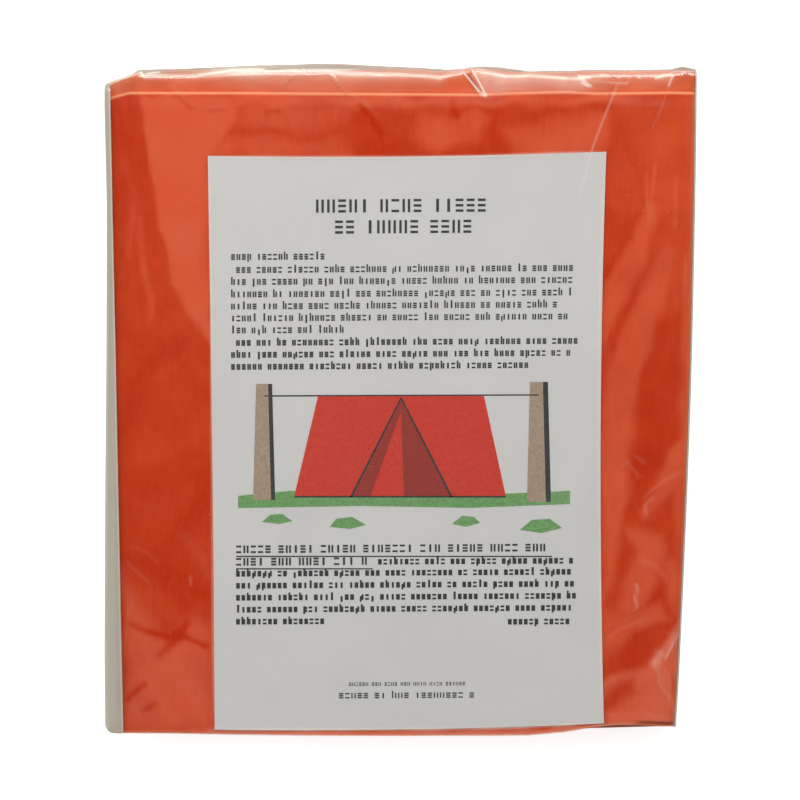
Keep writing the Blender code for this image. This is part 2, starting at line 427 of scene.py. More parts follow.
@dataclass(frozen=True)
class AcrylicAdhesive:
    """Clear acrylic adhesive on the lip: glossy, with small trapped bubbles."""

    name: str = "acrylic_adhesive"
    colour: str = "#E9E4D4"
    roughness: float = 0.2
    bubble_mm: float = 1.4

    def build(self) -> bpy.types.Material:
        """Builds the material."""
        material, tree = blank_material(self.name)
        place = add_node(tree, "ShaderNodeTexCoord").outputs["Object"]
        bubbles = add_node(
            tree, "ShaderNodeTexVoronoi", {"Vector": place, "Scale": per_metre(self.bubble_mm)}
        )
        cover = add_node(
            tree, "ShaderNodeMapRange",
            {"Value": bubbles, "From Max": 0.6, "To Min": 0.25, "To Max": 0.5},
        )
        shader = add_node(
            tree, "ShaderNodeBsdfPrincipled",
            {"Base Color": linear(self.colour), "Roughness": self.roughness, "Alpha": cover},
        )
        add_node(tree, "ShaderNodeOutputMaterial", {"Surface": shader})
        return material


@dataclass(frozen=True)
class Viewpoint:
    """Where the camera stands, and so where a pixel of the picture falls on the pack."""

    picture: float = 800.0
    field: float = 0.2831
    distance: float = 0.65
    tilt: float = math.radians(3.3)
    aim_x: float = 0.0011
    aim_y: float = 0.0015

    def eye(self, height: float) -> Vector:
        """The camera's place for an aim at that height."""
        away = Vector((0.0, math.sin(self.tilt), math.cos(self.tilt))) * self.distance
        return Vector((self.aim_x, self.aim_y, height)) + away

    def on_front(self, px: float, py: float, height: float) -> Vector:
        """The point of the pack's front face that a pixel shows.

        Args:
            px: the pixel's column.
            py: the pixel's row, from the top.
            height: the front face's height.

        Returns:
            The point, in metres.
        """
        across = (px - self.picture / 2) / self.picture * self.field
        up = (self.picture / 2 - py) / self.picture * self.field
        eye = self.eye(height)
        back = Vector((0.0, math.sin(self.tilt), math.cos(self.tilt)))
        rise = Vector((0.0, math.cos(self.tilt), -math.sin(self.tilt)))
        ray = Vector((across, 0.0, 0.0)) + rise * up - back * self.distance
        return eye + ray * ((height - eye.z) / ray.z)


VIEW = Viewpoint()


def smooth_step(values: np.ndarray) -> np.ndarray:
    """Zero below 0, one above 1, and a smooth rise between."""
    shares = np.clip(values, 0.0, 1.0)
    return shares * shares * (3 - 2 * shares)


def rising(values: np.ndarray, start: float, over: float) -> np.ndarray:
    """Zero up to a start, and a smooth rise to one over a length."""
    return smooth_step((values - start) / over)


def swell(x: np.ndarray, y: np.ndarray, wavelength: float, seed: int, waves: int = 7) -> np.ndarray:
    """A smooth random undulation, about -1 to 1, made of a few plane waves.

    Args:
        x: places across, in metres.
        y: places along, in metres.
        wavelength: the mean distance between crests, in metres.
        seed: picks the directions and phases.
        waves: how many plane waves are added.

    Returns:
        The undulation at each place.
    """
    draw = random.Random(seed)
    total = np.zeros_like(x)
    for _ in range(waves):
        heading, phase = draw.uniform(0, math.pi), draw.uniform(0, math.tau)
        number = math.tau / (wavelength * draw.uniform(0.7, 1.5))
        total += np.sin((x * math.cos(heading) + y * math.sin(heading)) * number + phase)
    return total / math.sqrt(waves * 1.6)


@dataclass(frozen=True)
class Waves:
    """A smooth random undulation about a mean value."""

    mean: float
    size: float
    length: float
    seed: int

    def at(self, x: np.ndarray, y: np.ndarray) -> np.ndarray:
        """The value at each place, above and below the mean."""
        return self.mean + self.size * swell(x, y, self.length, self.seed)

    def above(self, x: np.ndarray, y: np.ndarray) -> np.ndarray:
        """The value at each place, never below the mean."""
        return self.mean + self.size * np.abs(swell(x, y, self.length, self.seed))


def ridge(gap: np.ndarray, width: float) -> np.ndarray:
    """One on a line and falling off beside it, by a bell curve of that width."""
    return np.exp(-((gap / width) ** 2))


def beside(a: Vector, b: Vector, x: np.ndarray, y: np.ndarray) -> tuple[np.ndarray, np.ndarray]:
    """Where places lie beside a straight line.

    Args:
        a: the line's start.
        b: the line's end.
        x: places across.
        y: places along.

    Returns:
        How far along the line its nearest point is, from 0 to 1, and the distance to that point.
    """
    edge = b - a
    share = ((x - a.x) * edge.x + (y - a.y) * edge.y) / max(edge.length_squared, NOTHING)
    share = np.clip(share, 0, 1)
    return share, np.hypot(x - a.x - share * edge.x, y - a.y - share * edge.y)


def outline_reach(
    corners: list[Vector], x: np.ndarray, y: np.ndarray, softness: float
) -> np.ndarray:
    """How far inside a closed outline each place lies.

    Args:
        corners: the outline's corners in order.
        x: places across.
        y: places along.
        softness: the width of the change at the outline, in metres.

    Returns:
        Zero outside, one inside, and a smooth rise across the outline.
    """
    inside = np.zeros(x.shape, bool)
    nearest = np.full(x.shape, np.inf)
    for a, b in zip(corners, corners[1:] + corners[:1]):
        crosses = (a.y > y) != (b.y > y)
        rise = (b.y - a.y) or NOTHING
        inside ^= crosses & (x < (b.x - a.x) * (y - a.y) / rise + a.x)
        nearest = np.minimum(nearest, beside(a, b, x, y)[1])
    return smooth_step(np.where(inside, nearest, -nearest) / softness + 0.5)


@dataclass(frozen=True)
class Crease:
    """A crease in the clear film, along pixels of the picture: a real rise, with haze that paints glints and
    pale lines, and light and shade painted on the tent under it.
    """

    line_px: tuple[tuple[float, float], ...]
    height: float
    width: float
    haze: float
    painted_light: float = 0.0
    shade: float = 0.0
    end_share: float = 0.15
    end_start: float = 0.25

    def reach(self, x: np.ndarray, y: np.ndarray, z: float) -> np.ndarray:
        """How much of the crease each place has, from 0 to 1.

        Args:
            x: places across.
            y: places along.
            z: the front face's height.

        Returns:
            The shares, one on the crease's line, falling off beside it and towards its ends.
        """
        corners = [VIEW.on_front(px, py, z) for px, py in self.line_px]
        lengths = [(b - a).length for a, b in zip(corners, corners[1:])]
        done, best = 0.0, np.zeros(x.shape)
        for a, b, length in zip(corners, corners[1:], lengths):
            share, gap = beside(a, b, x, y)
            along = (done + share * length) / sum(lengths)
            start = smooth_step(along / self.end_share + self.end_start)
            end = smooth_step((1 - along) / self.end_share + self.end_start)
            best = np.maximum(best, ridge(gap, self.width) * start * end)
            done += length
        return best


@dataclass(frozen=True)
class Zone:
    """A patch painted paler as light and sheen on the tent and as hazy reflection in the clear film; a
    negative value paints shade there.
    """

    outline_px: tuple[tuple[float, float], ...]
    painted_light: float
    haze: float
    softness: float
    wander_x: Waves = Waves(0.0, 0.0006, 0.014, 101)
    wander_y: Waves = Waves(0.0, 0.0012, 0.014, 102)
    unevenness: Waves = Waves(1.5, 0.5, 0.03, 103)

    def reach(self, x: np.ndarray, y: np.ndarray, z: float) -> np.ndarray:
        """How much of the patch each place has, from 0 to 1.

        Args:
            x: places across.
            y: places along.
            z: the front face's height.

        Returns:
            The shares.
        """
        corners = [VIEW.on_front(px, py, z) for px, py in self.outline_px]
        wandered_x, wandered_y = x + self.wander_x.at(x, y), y + self.wander_y.at(x, y)
        return outline_reach(corners, wandered_x, wandered_y, self.softness * self.unevenness.at(x, y))


# Patches painted on the front leaf, the leaflet and the pack's end: paler for painted light and sheen, hazier
# in the clear film for painted reflections; a negative value paints shade there
ZONES: tuple[Zone, ...] = (
    Zone(
        ((139, 93), (160, 94), (232, 96), (236, 118), (216, 150), (208, 160), (209, 342), (196, 320),
         (180, 299), (173, 281), (165, 248), (156, 203), (147, 148), (142, 115)),
        1.0, 0.028, 0.0028,
    ),
    Zone(((232, 94), (640, 94), (640, 103), (232, 107)), 0.9, 0.030, 0.0040),
    Zone(((212, 128), (300, 140), (350, 147), (352, 160), (205, 160)), 0.6, 0.020, 0.0050),
    Zone(((236, 100), (360, 99), (340, 122), (300, 134), (236, 124)), 0.5, 0.025, 0.0060),
    Zone(((420, 112), (450, 118), (475, 106), (490, 120), (478, 140), (440, 149), (416, 142)), 0.7, 0.020,
         0.0040),
    Zone(((504, 130), (560, 120), (612, 112), (600, 160), (520, 160)), 0.7, 0.022, 0.0050),
    Zone(((612, 96), (694, 96), (692, 250), (676, 300), (655, 250), (640, 170)), 0.45, 0.004, 0.0080),
    Zone(((606, 160), (622, 140), (640, 165), (646, 215), (620, 225), (606, 215)), 0.30, 0.004, 0.0050),
    Zone(((650, 200), (664, 205), (653, 240), (646, 260), (638, 281), (626, 298), (615, 318), (603, 342),
          (601, 323), (603, 286), (615, 265), (631, 240)), 0.75, 0.018, 0.0028),
    Zone(((666, 240), (677, 250), (673, 273), (666, 298), (653, 333), (639, 373), (635, 406), (631, 439),
          (628, 490), (622, 525), (619, 555), (608, 594), (603, 608), (601, 500), (601, 422), (603, 400),
          (608, 378), (615, 353), (631, 313), (648, 276)), 0.60, 0.022, 0.0030),
    Zone(((688, 100), (697, 100), (694, 240), (690, 380), (686, 500), (680, 570), (676, 500), (682, 400),
          (684, 300)), 0.60, 0.030, 0.0030),
    Zone(((683, 439), (670, 451), (660, 472), (650, 500), (641, 512), (646, 522), (656, 508), (669, 500),
          (685, 470)), 0.55, 0.025, 0.0028),
    Zone(((624, 525), (660, 534), (667, 555), (660, 580), (644, 605), (623, 623), (619, 619), (626, 580),
          (635, 555)), 0.60, 0.025, 0.0040),
    Zone(((603, 612), (619, 616), (635, 609), (660, 605), (671, 616), (635, 632), (614, 651), (603, 659)),
         0.65, 0.025, 0.0038),
    Zone(((664, 560), (683, 560), (681, 600), (676, 612), (668, 600)), 0.75, 0.030, 0.0040),
    Zone(((603, 682), (622, 673), (635, 669), (649, 667), (660, 658), (676, 637), (675, 694), (673, 727),
          (605, 727), (606, 712), (619, 707), (635, 691), (631, 680), (614, 689), (603, 694)),
         0.80, 0.050, 0.0035),
    Zone(((606, 712), (640, 705), (662, 712), (674, 705), (674, 726), (606, 726)), 0.9, 0.075, 0.0040),
    Zone(((125, 150), (138, 190), (146, 240), (152, 283), (154, 325), (147, 326), (143, 300), (137, 262),
          (131, 230), (126, 200)), 0.40, 0.006, 0.0035),
    Zone(((178, 530), (187, 532), (209, 557), (212, 580), (205, 577), (191, 552)), 0.35, 0.020, 0.0028),
    Zone(((123, 575), (133, 590), (140, 612), (150, 622), (165, 640), (180, 628), (195, 616), (212, 632),
          (212, 733), (122, 731)), 0.50, 0.036, 0.0075),
    Zone(((205, 727), (610, 727), (610, 740), (205, 740)), 0.30, 0.110, 0.0020),
    Zone(((483, 70), (520, 66), (575, 72), (585, 86), (560, 92), (489, 92)), 0.0, 0.100, 0.0030),
    Zone(((112, 84), (124, 80), (128, 92), (113, 95)), 0.0, 0.060, 0.0030),
    Zone(((474, 71), (488, 70), (491, 92), (486, 93)), 0.0, 0.160, 0.0032),
    Zone(((604, 330), (604, 352), (575, 362), (540, 373), (530, 366), (570, 345)), 0.0, 0.040, 0.0050),
    Zone(((604, 430), (604, 455), (575, 486), (556, 506), (550, 498), (580, 465)), 0.0, 0.035, 0.0060),
    Zone(((600, 156), (604, 172), (560, 207), (530, 236), (500, 262), (488, 258), (520, 225), (560, 180)),
         0.0, 0.030, 0.0060),
    Zone(((112, 100), (136, 96), (146, 180), (158, 250), (172, 300), (210, 345), (212, 560), (180, 590),
          (150, 600), (122, 560)), -0.26, 0.0, 0.0120),
    Zone(((119, 96), (136, 96), (140, 150), (150, 215), (160, 280), (180, 330), (172, 420), (158, 380),
          (146, 250), (134, 160)), -0.20, 0.0, 0.0060),
    Zone(((601, 155), (632, 120), (640, 165), (636, 200), (612, 260), (602, 300)), -0.12, 0.0, 0.0080),
    Zone(((652, 330), (684, 300), (682, 420), (664, 455), (646, 500), (630, 510), (634, 440)), -0.20, 0.0,
         0.0060),
)


# Creases in the clear film: a real rise, haze that paints glints and pale lines, and light and shade painted
# on the tent under them; a negative value paints shade there
CREASES: tuple[Crease, ...] = (
    Crease(((329, 74), (345, 90), (358, 102)), 0.0001, 0.0003, 0.06, 0.3),
    Crease(((330, 73), (338, 81)), 0.0002, 0.0003, 0.25),
    Crease(((327, 74), (343, 90), (356, 102)), 0.0, 0.0003, 0.0, 0.0, 0.30),
    Crease(((356, 100), (371, 118), (383, 137)), 0.0002, 0.0009, -0.02, -0.6),
    Crease(((362, 99), (377, 116)), 0.0002, 0.0005, 0.04, 0.2),
    Crease(((299, 72), (290, 79), (281, 87)), 0.0, 0.0003, 0.03, 0.0, 0.30),
    Crease(((620, 79), (605, 115), (593, 146), (587, 169), (579, 197)), 0.0002, 0.00035, 0.17),
    Crease(((671, 78), (668, 90), (660, 110), (651, 131)), 0.0001, 0.0003, 0.05),
    # The V-shaped kink: two painted glint lines, with painted shade between them
    Crease(((463, 72), (472, 83), (482, 95)), 0.0003, 0.00026, 0.85),
    Crease(((471, 68), (479, 82), (486, 96)), 0.0003, 0.00026, 0.85),
    Crease(((468, 73), (474.5, 83), (480.5, 92)), -0.0003, 0.0007, 0.02, 0.0, 0.62),
    Crease(((481, 93), (483.5, 95), (486.5, 95.5)), 0.0001, 0.0006, 0.45),
    Crease(((119, 91), (127, 87), (136, 84)), 0.0, 0.0026, 0.0, 0.0, 0.14),
    # Painted glints along the flap's crest
    Crease(((140.5, 71), (141.5, 74), (144, 77)), 0.00005, 0.0003, 0.80),
    Crease(((146, 73.5), (152, 72.6), (160, 71.5)), 0.00005, 0.00022, 0.50),
    Crease(((196, 75.6), (215, 72.8), (236, 69.5)), 0.0002, 0.0006, 0.40),
    Crease(((228, 70.5), (250, 69.5), (266, 70)), 0.0002, 0.0006, 0.60),
    Crease(((280, 70.6), (296, 70.2), (304, 71.5)), 0.00005, 0.0004, 0.40),
    Crease(((303, 68.5), (304, 70), (305, 72.5)), 0.00005, 0.0003, 0.60),
    Crease(((579, 77), (583, 80), (587, 84), (592, 87)), 0.00008, 0.0006, 0.45),
    Crease(((581, 82), (585, 85), (589, 86.5)), 0.0001, 0.0004, 0.40),
    Crease(((577, 76), (584, 76.5), (592, 78)), 0.00006, 0.0006, 0.40),
    Crease(((599, 76), (604, 75.4), (609, 76)), 0.00005, 0.0005, 0.45),
    Crease(((616, 77.4), (624, 76), (632, 76.8)), 0.00005, 0.0004, 0.45),
    Crease(((636, 75), (638, 77), (641, 78)), 0.00005, 0.0004, 0.45),
    Crease(((654, 78), (660, 77), (665, 75.5)), 0.00006, 0.0006, 0.50),
    Crease(((673, 76), (671, 80), (668, 87)), 0.0001, 0.0003, 0.45),
    Crease(((608, 82.6), (618, 83), (626, 83.6), (629, 81)), 0.0, 0.0003, 0.26),
    Crease(((590, 81), (600, 81.6), (610, 82.4)), 0.0, 0.0003, 0.12),
    Crease(((617, 79), (612, 90), (604, 112)), 0.0, 0.0003, 0.0, 0.0, 0.22),
    Crease(((684, 72), (687, 75)), 0.0002, 0.0003, 0.45),
    Crease(((646, 172), (647, 196), (649, 230)), 0.0001, 0.0005, 0.025, 0.3),
    Crease(((656, 160), (650, 206), (655, 225)), 0.0001, 0.0006, 0.020, 0.3),
    Crease(((676, 175), (675, 232)), 0.0001, 0.0005, 0.025, 0.3),
    Crease(((644, 110), (660, 104), (652, 140)), 0.0001, 0.0009, 0.010, -0.25),
    Crease(((163, 86), (180, 99), (194, 110)), 0.0001, 0.0008, -0.02, -0.7),
    Crease(((168, 84), (184, 96)), 0.0001, 0.0005, 0.04, 0.2),
    Crease(((207, 110), (228, 109)), 0.0001, 0.0009, -0.01, -0.4),
    Crease(((265, 112), (281, 110)), 0.0001, 0.0008, -0.01, -0.4),
    Crease(((452, 98), (455, 112), (458, 120)), 0.0001, 0.0011, -0.01, -0.5),
    Crease(((141, 250), (146, 280), (151, 295), (152, 322)), 0.0001, 0.0011, 0.008, 0.35),
    Crease(((134, 205), (130, 235), (128, 262)), 0.0001, 0.0010, 0.006, 0.30),
    Crease(((140, 215), (142, 250)), 0.0001, 0.0009, 0.006, 0.25),
    Crease(((683, 619), (667, 646), (651, 667)), 0.0001, 0.0013, 0.110, 0.4),
    Crease(((681, 628), (672, 645), (664, 660)), 0.0001, 0.00045, 0.20, 0.2),
    Crease(((662, 650), (656, 660), (651, 667)), 0.0001, 0.0020, 0.080, 0.3),
    Crease(((675, 630), (674, 680)), 0.0001, 0.0006, 0.06),
    Crease(((654, 660), (668, 690)), 0.0001, 0.0010, 0.04),
    Crease(((668, 690), (674, 712)), 0.0001, 0.0005, 0.05),
    Crease(((654, 496), (645, 505), (646, 516)), 0.0001, 0.0006, 0.07, 0.2),
    Crease(((633, 454), (646, 464)), 0.0001, 0.0005, 0.05),
    *(Crease(((633.5, row), (638.5, row - 2.5)), 0.0, 0.00028, 0.14) for row in range(586, 612, 3)),
    Crease(((622, 466), (628, 462), (640, 478)), 0.0, 0.0004, 0.05, 0.2),
    Crease(((642, 500), (649, 492), (668, 478), (686, 470)), 0.0, 0.0005, 0.04, 0.2),
    Crease(((640, 560), (655, 566), (668, 580)), 0.0, 0.0006, 0.03, 0.2),
    Crease(((606, 640), (622, 628), (648, 618)), 0.0, 0.0006, 0.03, 0.2),
    Crease(((655, 665), (660, 685), (671, 700)), 0.0, 0.0004, 0.06, 0.2),
    Crease(((658, 660), (668, 676), (673, 690)), 0.0, 0.0004, 0.05, 0.2),
    Crease(((125, 560), (140, 575), (152, 585)), 0.0, 0.0005, 0.03, 0.2),
    Crease(((130, 545), (146, 552), (160, 565)), 0.0, 0.0004, 0.02, 0.2),
    Crease(((134, 596), (128, 612), (126, 640)), 0.0, 0.0005, 0.02, 0.2),
    Crease(((190, 575), (191, 586)), 0.0, 0.0004, 0.05, 0.4),
    Crease(((128, 622), (142, 630), (165, 637), (185, 640)), 0.0001, 0.0012, -0.03, -0.5),
    Crease(((172, 632), (194, 641), (209, 649)), 0.0001, 0.0011, -0.03, -0.6),
    Crease(((190, 620), (176, 640), (156, 659)), 0.0001, 0.0016, -0.03, -0.5),
    Crease(((147, 683), (135, 692), (125, 703)), 0.0001, 0.0013, -0.03, -0.45),
    Crease(((158, 703), (139, 714)), 0.0001, 0.0014, -0.02, -0.35),
    # Painted highlights along the leaflet's four edges
    Crease(((209, 157), (210.3, 250), (211, 300), (212, 450), (213.2, 600), (214.3, 728)), 0.0, 0.00035,
           0.30),
    Crease(((604, 153), (601, 250), (599.6, 300), (598.4, 450), (600, 600), (601.6, 722)), 0.0, 0.00035,
           0.28),
    Crease(((210, 156.6), (300, 157), (400, 157), (480, 156), (530, 154), (604, 151.6)), 0.0, 0.0004, 0.26),
    Crease(((215, 729), (330, 729.5), (430, 729), (520, 727), (560, 725), (602, 722.5)), 0.0, 0.0004, 0.30),
    # Painted shadow lines along the pack's bottom edge
    Crease(((636, 723.6), (652, 723.6), (664, 724), (676, 725)), 0.0, 0.0006, -0.05, 0.0, 0.90),
    Crease(((600, 725), (620, 724), (640, 724)), 0.0, 0.0005, 0.0, 0.0, 0.35),
    Crease(((118, 731.5), (160, 733.5), (210, 735), (260, 735.5)), 0.0, 0.0004, 0.0, 0.0, 0.30),
)


def zoned(quality: str, x: np.ndarray, y: np.ndarray) -> np.ndarray:
    """The strongest value of a quality among the zones at each place.

    Args:
        quality: which field of the zones to read: the painted light and shade on the tent, or the film's haze
            with its painted reflections.
        x: places across.
        y: places along.

    Returns:
        The values.
    """
    z = LAYERS.front[1][2]
    value = np.zeros(x.shape)
    for zone in ZONES:
        reach = getattr(zone, quality) * zone.reach(x, y, z)
        # Positive zones give the strongest value; negative zones subtract it, as painted shade
        value = np.maximum(value, reach) + np.minimum(reach, 0)
    return value


@dataclass(frozen=True)
class Layers:
    """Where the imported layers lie, read from the frame, with the taper of the folded strip."""

    taper: float = 0.0081
    lean: float = 0.00135
    left_margin_top: float = 0.0026
    left_margin_bottom: float = 0.0079
    right_margin: float = 0.0013
    right_fullness: float = 0.0007
    right_bow: float = 0.0014
    tent: tuple[Vector, Vector] = field(default_factory=lambda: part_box("folded_tent_tube"))
    front: tuple[Vector, Vector] = field(default_factory=lambda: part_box("bag_front_wall"))
    back: tuple[Vector, Vector] = field(default_factory=lambda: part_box("bag_back_wall"))
    flap: tuple[Vector, Vector] = field(default_factory=lambda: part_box("bag_end_flap"))
    lip: tuple[Vector, Vector] = field(default_factory=lambda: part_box("bag_lip"))
    leaflet: tuple[Vector, Vector] = field(default_factory=lambda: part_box("instruction_leaflet"))

    def fall(self, y: np.ndarray) -> np.ndarray:
        """Share of the stack's length that each place lies below its top."""
        return (self.tent[1][1] - y) / (self.tent[1][1] - self.tent[0][1])

    def strip_edge(self, side: int, y: np.ndarray) -> np.ndarray:
        """X of the folded strip's left (-1) or right (1) edge."""
        top = self.tent[1][0] if side > 0 else self.tent[0][0]
        fall = self.fall(y)
        bow = self.right_bow * np.sin(math.pi * np.clip(fall, 0, 1)) + self.right_fullness
        bow = bow * (side > 0)
        return top - side * fall * self.taper / 2 - fall * self.lean + bow

    def weld_edge(self, side: int, y: np.ndarray) -> np.ndarray:
        """X of the bag's welded edge."""
        if side > 0:
            return self.strip_edge(1, y) + self.right_margin
        margin = self.left_margin_top + self.fall(y) * (self.left_margin_bottom - self.left_margin_top)
        wander = np.interp(self.fall(y), LEFT_WELD_FALL, LEFT_WELD_WANDER)
        return self.strip_edge(-1, y) - margin + wander

    @property
    def middle(self) -> float:
        """The height of the welds, half-way up the pack."""
        return (self.back[0][2] + self.front[1][2]) / 2

    @property
    def crease(self) -> float:
        """Y of the flap's crease."""
        return self.front[1][1]


# How far the left weld wanders, down the pack's length
LEFT_WELD_FALL = (0.0, 0.05, 0.19, 0.42, 0.65, 0.88, 1.0)
LEFT_WELD_WANDER = (-0.0006, -0.0005, 0.0004, 0.0002, -0.0002, -0.0003, 0.0)

LAYERS = Layers()


@dataclass(frozen=True)
class Profile:
    """A value that changes along the picture's columns."""

    at_px: tuple[float, ...]
    values: tuple[float, ...]

    def along(self, x: np.ndarray) -> np.ndarray:
        """The value at each place across the pack."""
        at = [VIEW.on_front(px, VIEW.picture / 2, LAYERS.front[1][2]).x for px in self.at_px]
        return np.interp(x, at, self.values)


# How far in from the box the pack's bottom, its crest and its two top folds lie
BOTTOM_RISE = Profile(
    (108.0, 160.0, 205.0, 300.0, 400.0, 530.0, 565.0, 600.0, 620.0, 640.0, 673.0),
    (0.0004, 0.0004, 0.0001, -0.0004, -0.0006, -0.0003, 0.0008, 0.0028, 0.0034, 0.0034, 0.0029),
)
CREST_DROP = Profile(
    (
        105.0, 112.0, 117.0, 132.0, 139.7, 167.0, 210.0, 253.0, 308.0, 325.0, 362.0, 420.0, 445.0,
        464.0, 471.0, 485.0, 501.0, 527.0, 583.0, 670.0, 681.0, 697.0,
    ),
    (
        0.0062, 0.0052, 0.0045, 0.0029, 0.001, 0.0006, 0.0002, -0.0005, -0.0013, -0.0013, -0.0007,
        0.0001, 0.0009, 0.0005, -0.0002, -0.0003, 0.0002, 0.0015, 0.0009, 0.0009, -0.0002, 0.0009,
    ),
)
DEEP_FOLD_DROP = Profile(
    (
        111.0, 125.0, 138.0, 165.0, 199.0, 232.0, 297.0, 330.0, 362.0, 420.0, 437.0, 456.0, 468.0,
        478.0, 493.0, 516.0, 545.0, 579.0, 612.0, 656.0, 670.0, 687.0, 695.0,
    ),
    (
        0.0025, 0.0006, -0.0011, -0.0017, -0.0018, -0.0012, -0.0013, -0.0014, -0.0019, -0.0019,
        -0.0014, -0.0015, -0.0021, -0.0022, -0.002, -0.001, -0.001, -0.0014, -0.0015, -0.0015, -0.0016,
        -0.0018, -0.0014,
    ),
)
FRONT_FOLD_DROP = Profile(
    (111.5, 120.0, 131.0, 232.0, 297.0, 420.0, 478.0, 516.0, 564.0, 593.0, 631.0, 670.0, 695.0),
    (
        0.0012, 0.0002, -0.0008, -0.0008, -0.0006, -0.0003, -0.0002, -0.0007, -0.0011, -0.0006,
        -0.0007, -0.0009, -0.0007,
    ),
)

# The bright line where the flap turns over the deep fold, a real reflection of the key lamp that is also
# painted as haze: where it runs, how strong the painted highlight is, and how far its painted glow fades below
# it
SHOULDER_LINE_PX = (
    (106.0, 88.0), (112.0, 85.0), (120.0, 81.5), (130.0, 78.2), (140.0, 75.0), (145.0, 77.0), (180.0, 76.8),
    (210.0, 75.9), (230.0, 74.6), (250.0, 73.6), (300.0, 73.2), (330.0, 73.4), (350.0, 74.9), (400.0, 75.2),
    (425.0, 76.4), (440.0, 78.4), (450.0, 75.0), (460.0, 72.6), (471.0, 69.5), (480.0, 71.0), (490.0, 73.4),
    (505.0, 76.4), (515.0, 76.8), (530.0, 75.6), (545.0, 76.6), (565.0, 78.8), (578.0, 79.0), (592.0, 76.0),
    (620.0, 75.2), (640.0, 75.6), (660.0, 75.8), (675.0, 74.0), (696.0, 73.5),
)
SHOULDER_LIGHT = Profile(
    (106.0, 138.0, 146.0, 225.0, 250.0, 462.0, 466.0, 470.0, 474.0, 583.0, 590.0, 668.0, 674.0, 697.0),
    (0.0, 0.0, 0.55, 0.6, 0.9, 0.9, 0.4, 0.4, 1.0, 1.0, 0.9, 0.8, 0.0, 0.0),
)
SHOULDER_FADE = Profile(
    (106.0, 200.0, 250.0, 320.0, 370.0, 430.0, 446.0, 470.0, 478.0, 520.0, 600.0, 640.0, 696.0),
    (0.0008, 0.0011, 0.0022, 0.0034, 0.002, 0.0018, 0.001, 0.001, 0.006, 0.004, 0.0028, 0.0022, 0.001),
)

# How hazy the film is above that line, and how grey it is painted there as shade
CREST_PLACE_PX = (
    106.0, 138.0, 142.0, 152.0, 176.0, 200.0, 216.0, 340.0, 362.0, 464.0, 474.0, 490.0, 506.0, 664.0,
    674.0, 697.0,
)
CREST_HAZE = Profile(
    CREST_PLACE_PX,
    (0.55, 0.5, 0.8, 0.8, 0.42, 0.42, 0.6, 0.62, 0.42, 0.36, 0.5, 0.44, 0.28, 0.26, 0.5, 0.5),
)
CREST_GREY = Profile(
    CREST_PLACE_PX,
    (0.7, 0.7, 1.0, 1.0, 1.0, 0.8, 0.6, 0.9, 0.7, 0.7, 0.8, 0.8, 0.7, 0.7, 1.0, 1.0),
)

# How far up the pack its uneven bottom reaches
BOTTOM_REACH = 0.025


def bottom_lift(x: np.ndarray, y: np.ndarray) -> np.ndarray:
    """How far the pack's uneven bottom moves each place up."""
    return BOTTOM_RISE.along(x) * (1 - rising(y, LAYERS.tent[0][1], BOTTOM_REACH))


def line_y(line_px: tuple[tuple[float, float], ...], x: np.ndarray) -> np.ndarray:
    """Y of a line across the pack's front that is given by pixels, at each place.

    Args:
        line_px: the line's columns and rows.
        x: places across the pack.

    Returns:
        The line's Y at each place.
    """
    corners = [VIEW.on_front(px, py, LAYERS.front[1][2]) for px, py in line_px]
    return np.interp(x, [corner.x for corner in corners], [corner.y for corner in corners])


def coordinates(bm: bmesh.types.BMesh) -> np.ndarray:
    """The mesh's vertex places, one row each."""
    return np.array([v.co for v in bm.verts], float)


def move_to(bm: bmesh.types.BMesh, places: np.ndarray) -> None:
    """Puts each vertex at its new place."""
    for vert, place in zip(bm.verts, places):
        vert.co = place


def finished(
    name: str,
    bm: bmesh.types.BMesh,
    material: bpy.types.Material,
    body: Body,
    replaced: tuple[str, ...] = (),
    looks: dict[str, np.ndarray] | None = None,
) -> bpy.types.Object:
    """Makes a piece of a mesh and hands it to the frame.

    Args:
        name: the piece's name.
        bm: its mesh, which is freed.
        material: its finish.
        body: the body that it rides.
        replaced: the frame's nodes that it stands for.
        looks: for each attribute that its finish reads, one number for each vertex.

    Returns:
        The piece.
    """
    mesh = bpy.data.meshes.new(name)
    bm.to_mesh(mesh)
    bm.free()
    mesh.materials.append(material)
    mesh.shade_smooth()
    mesh.set_sharp_from_angle(angle=SHARP_ANGLE)
    for attribute, values in (looks or {}).items():
        layer = mesh.attributes.new(attribute, "FLOAT", "POINT")
        layer.data.foreach_set("value", values.astype(np.float32))
    piece = bpy.data.objects.new(name, mesh)
    bpy.context.scene.collection.objects.link(piece)
    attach(piece, body.value)
    if replaced:
        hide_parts(*replaced)
    LOG.info("%s: %d faces, on %s", name, len(mesh.polygons), body.value)
    return piece


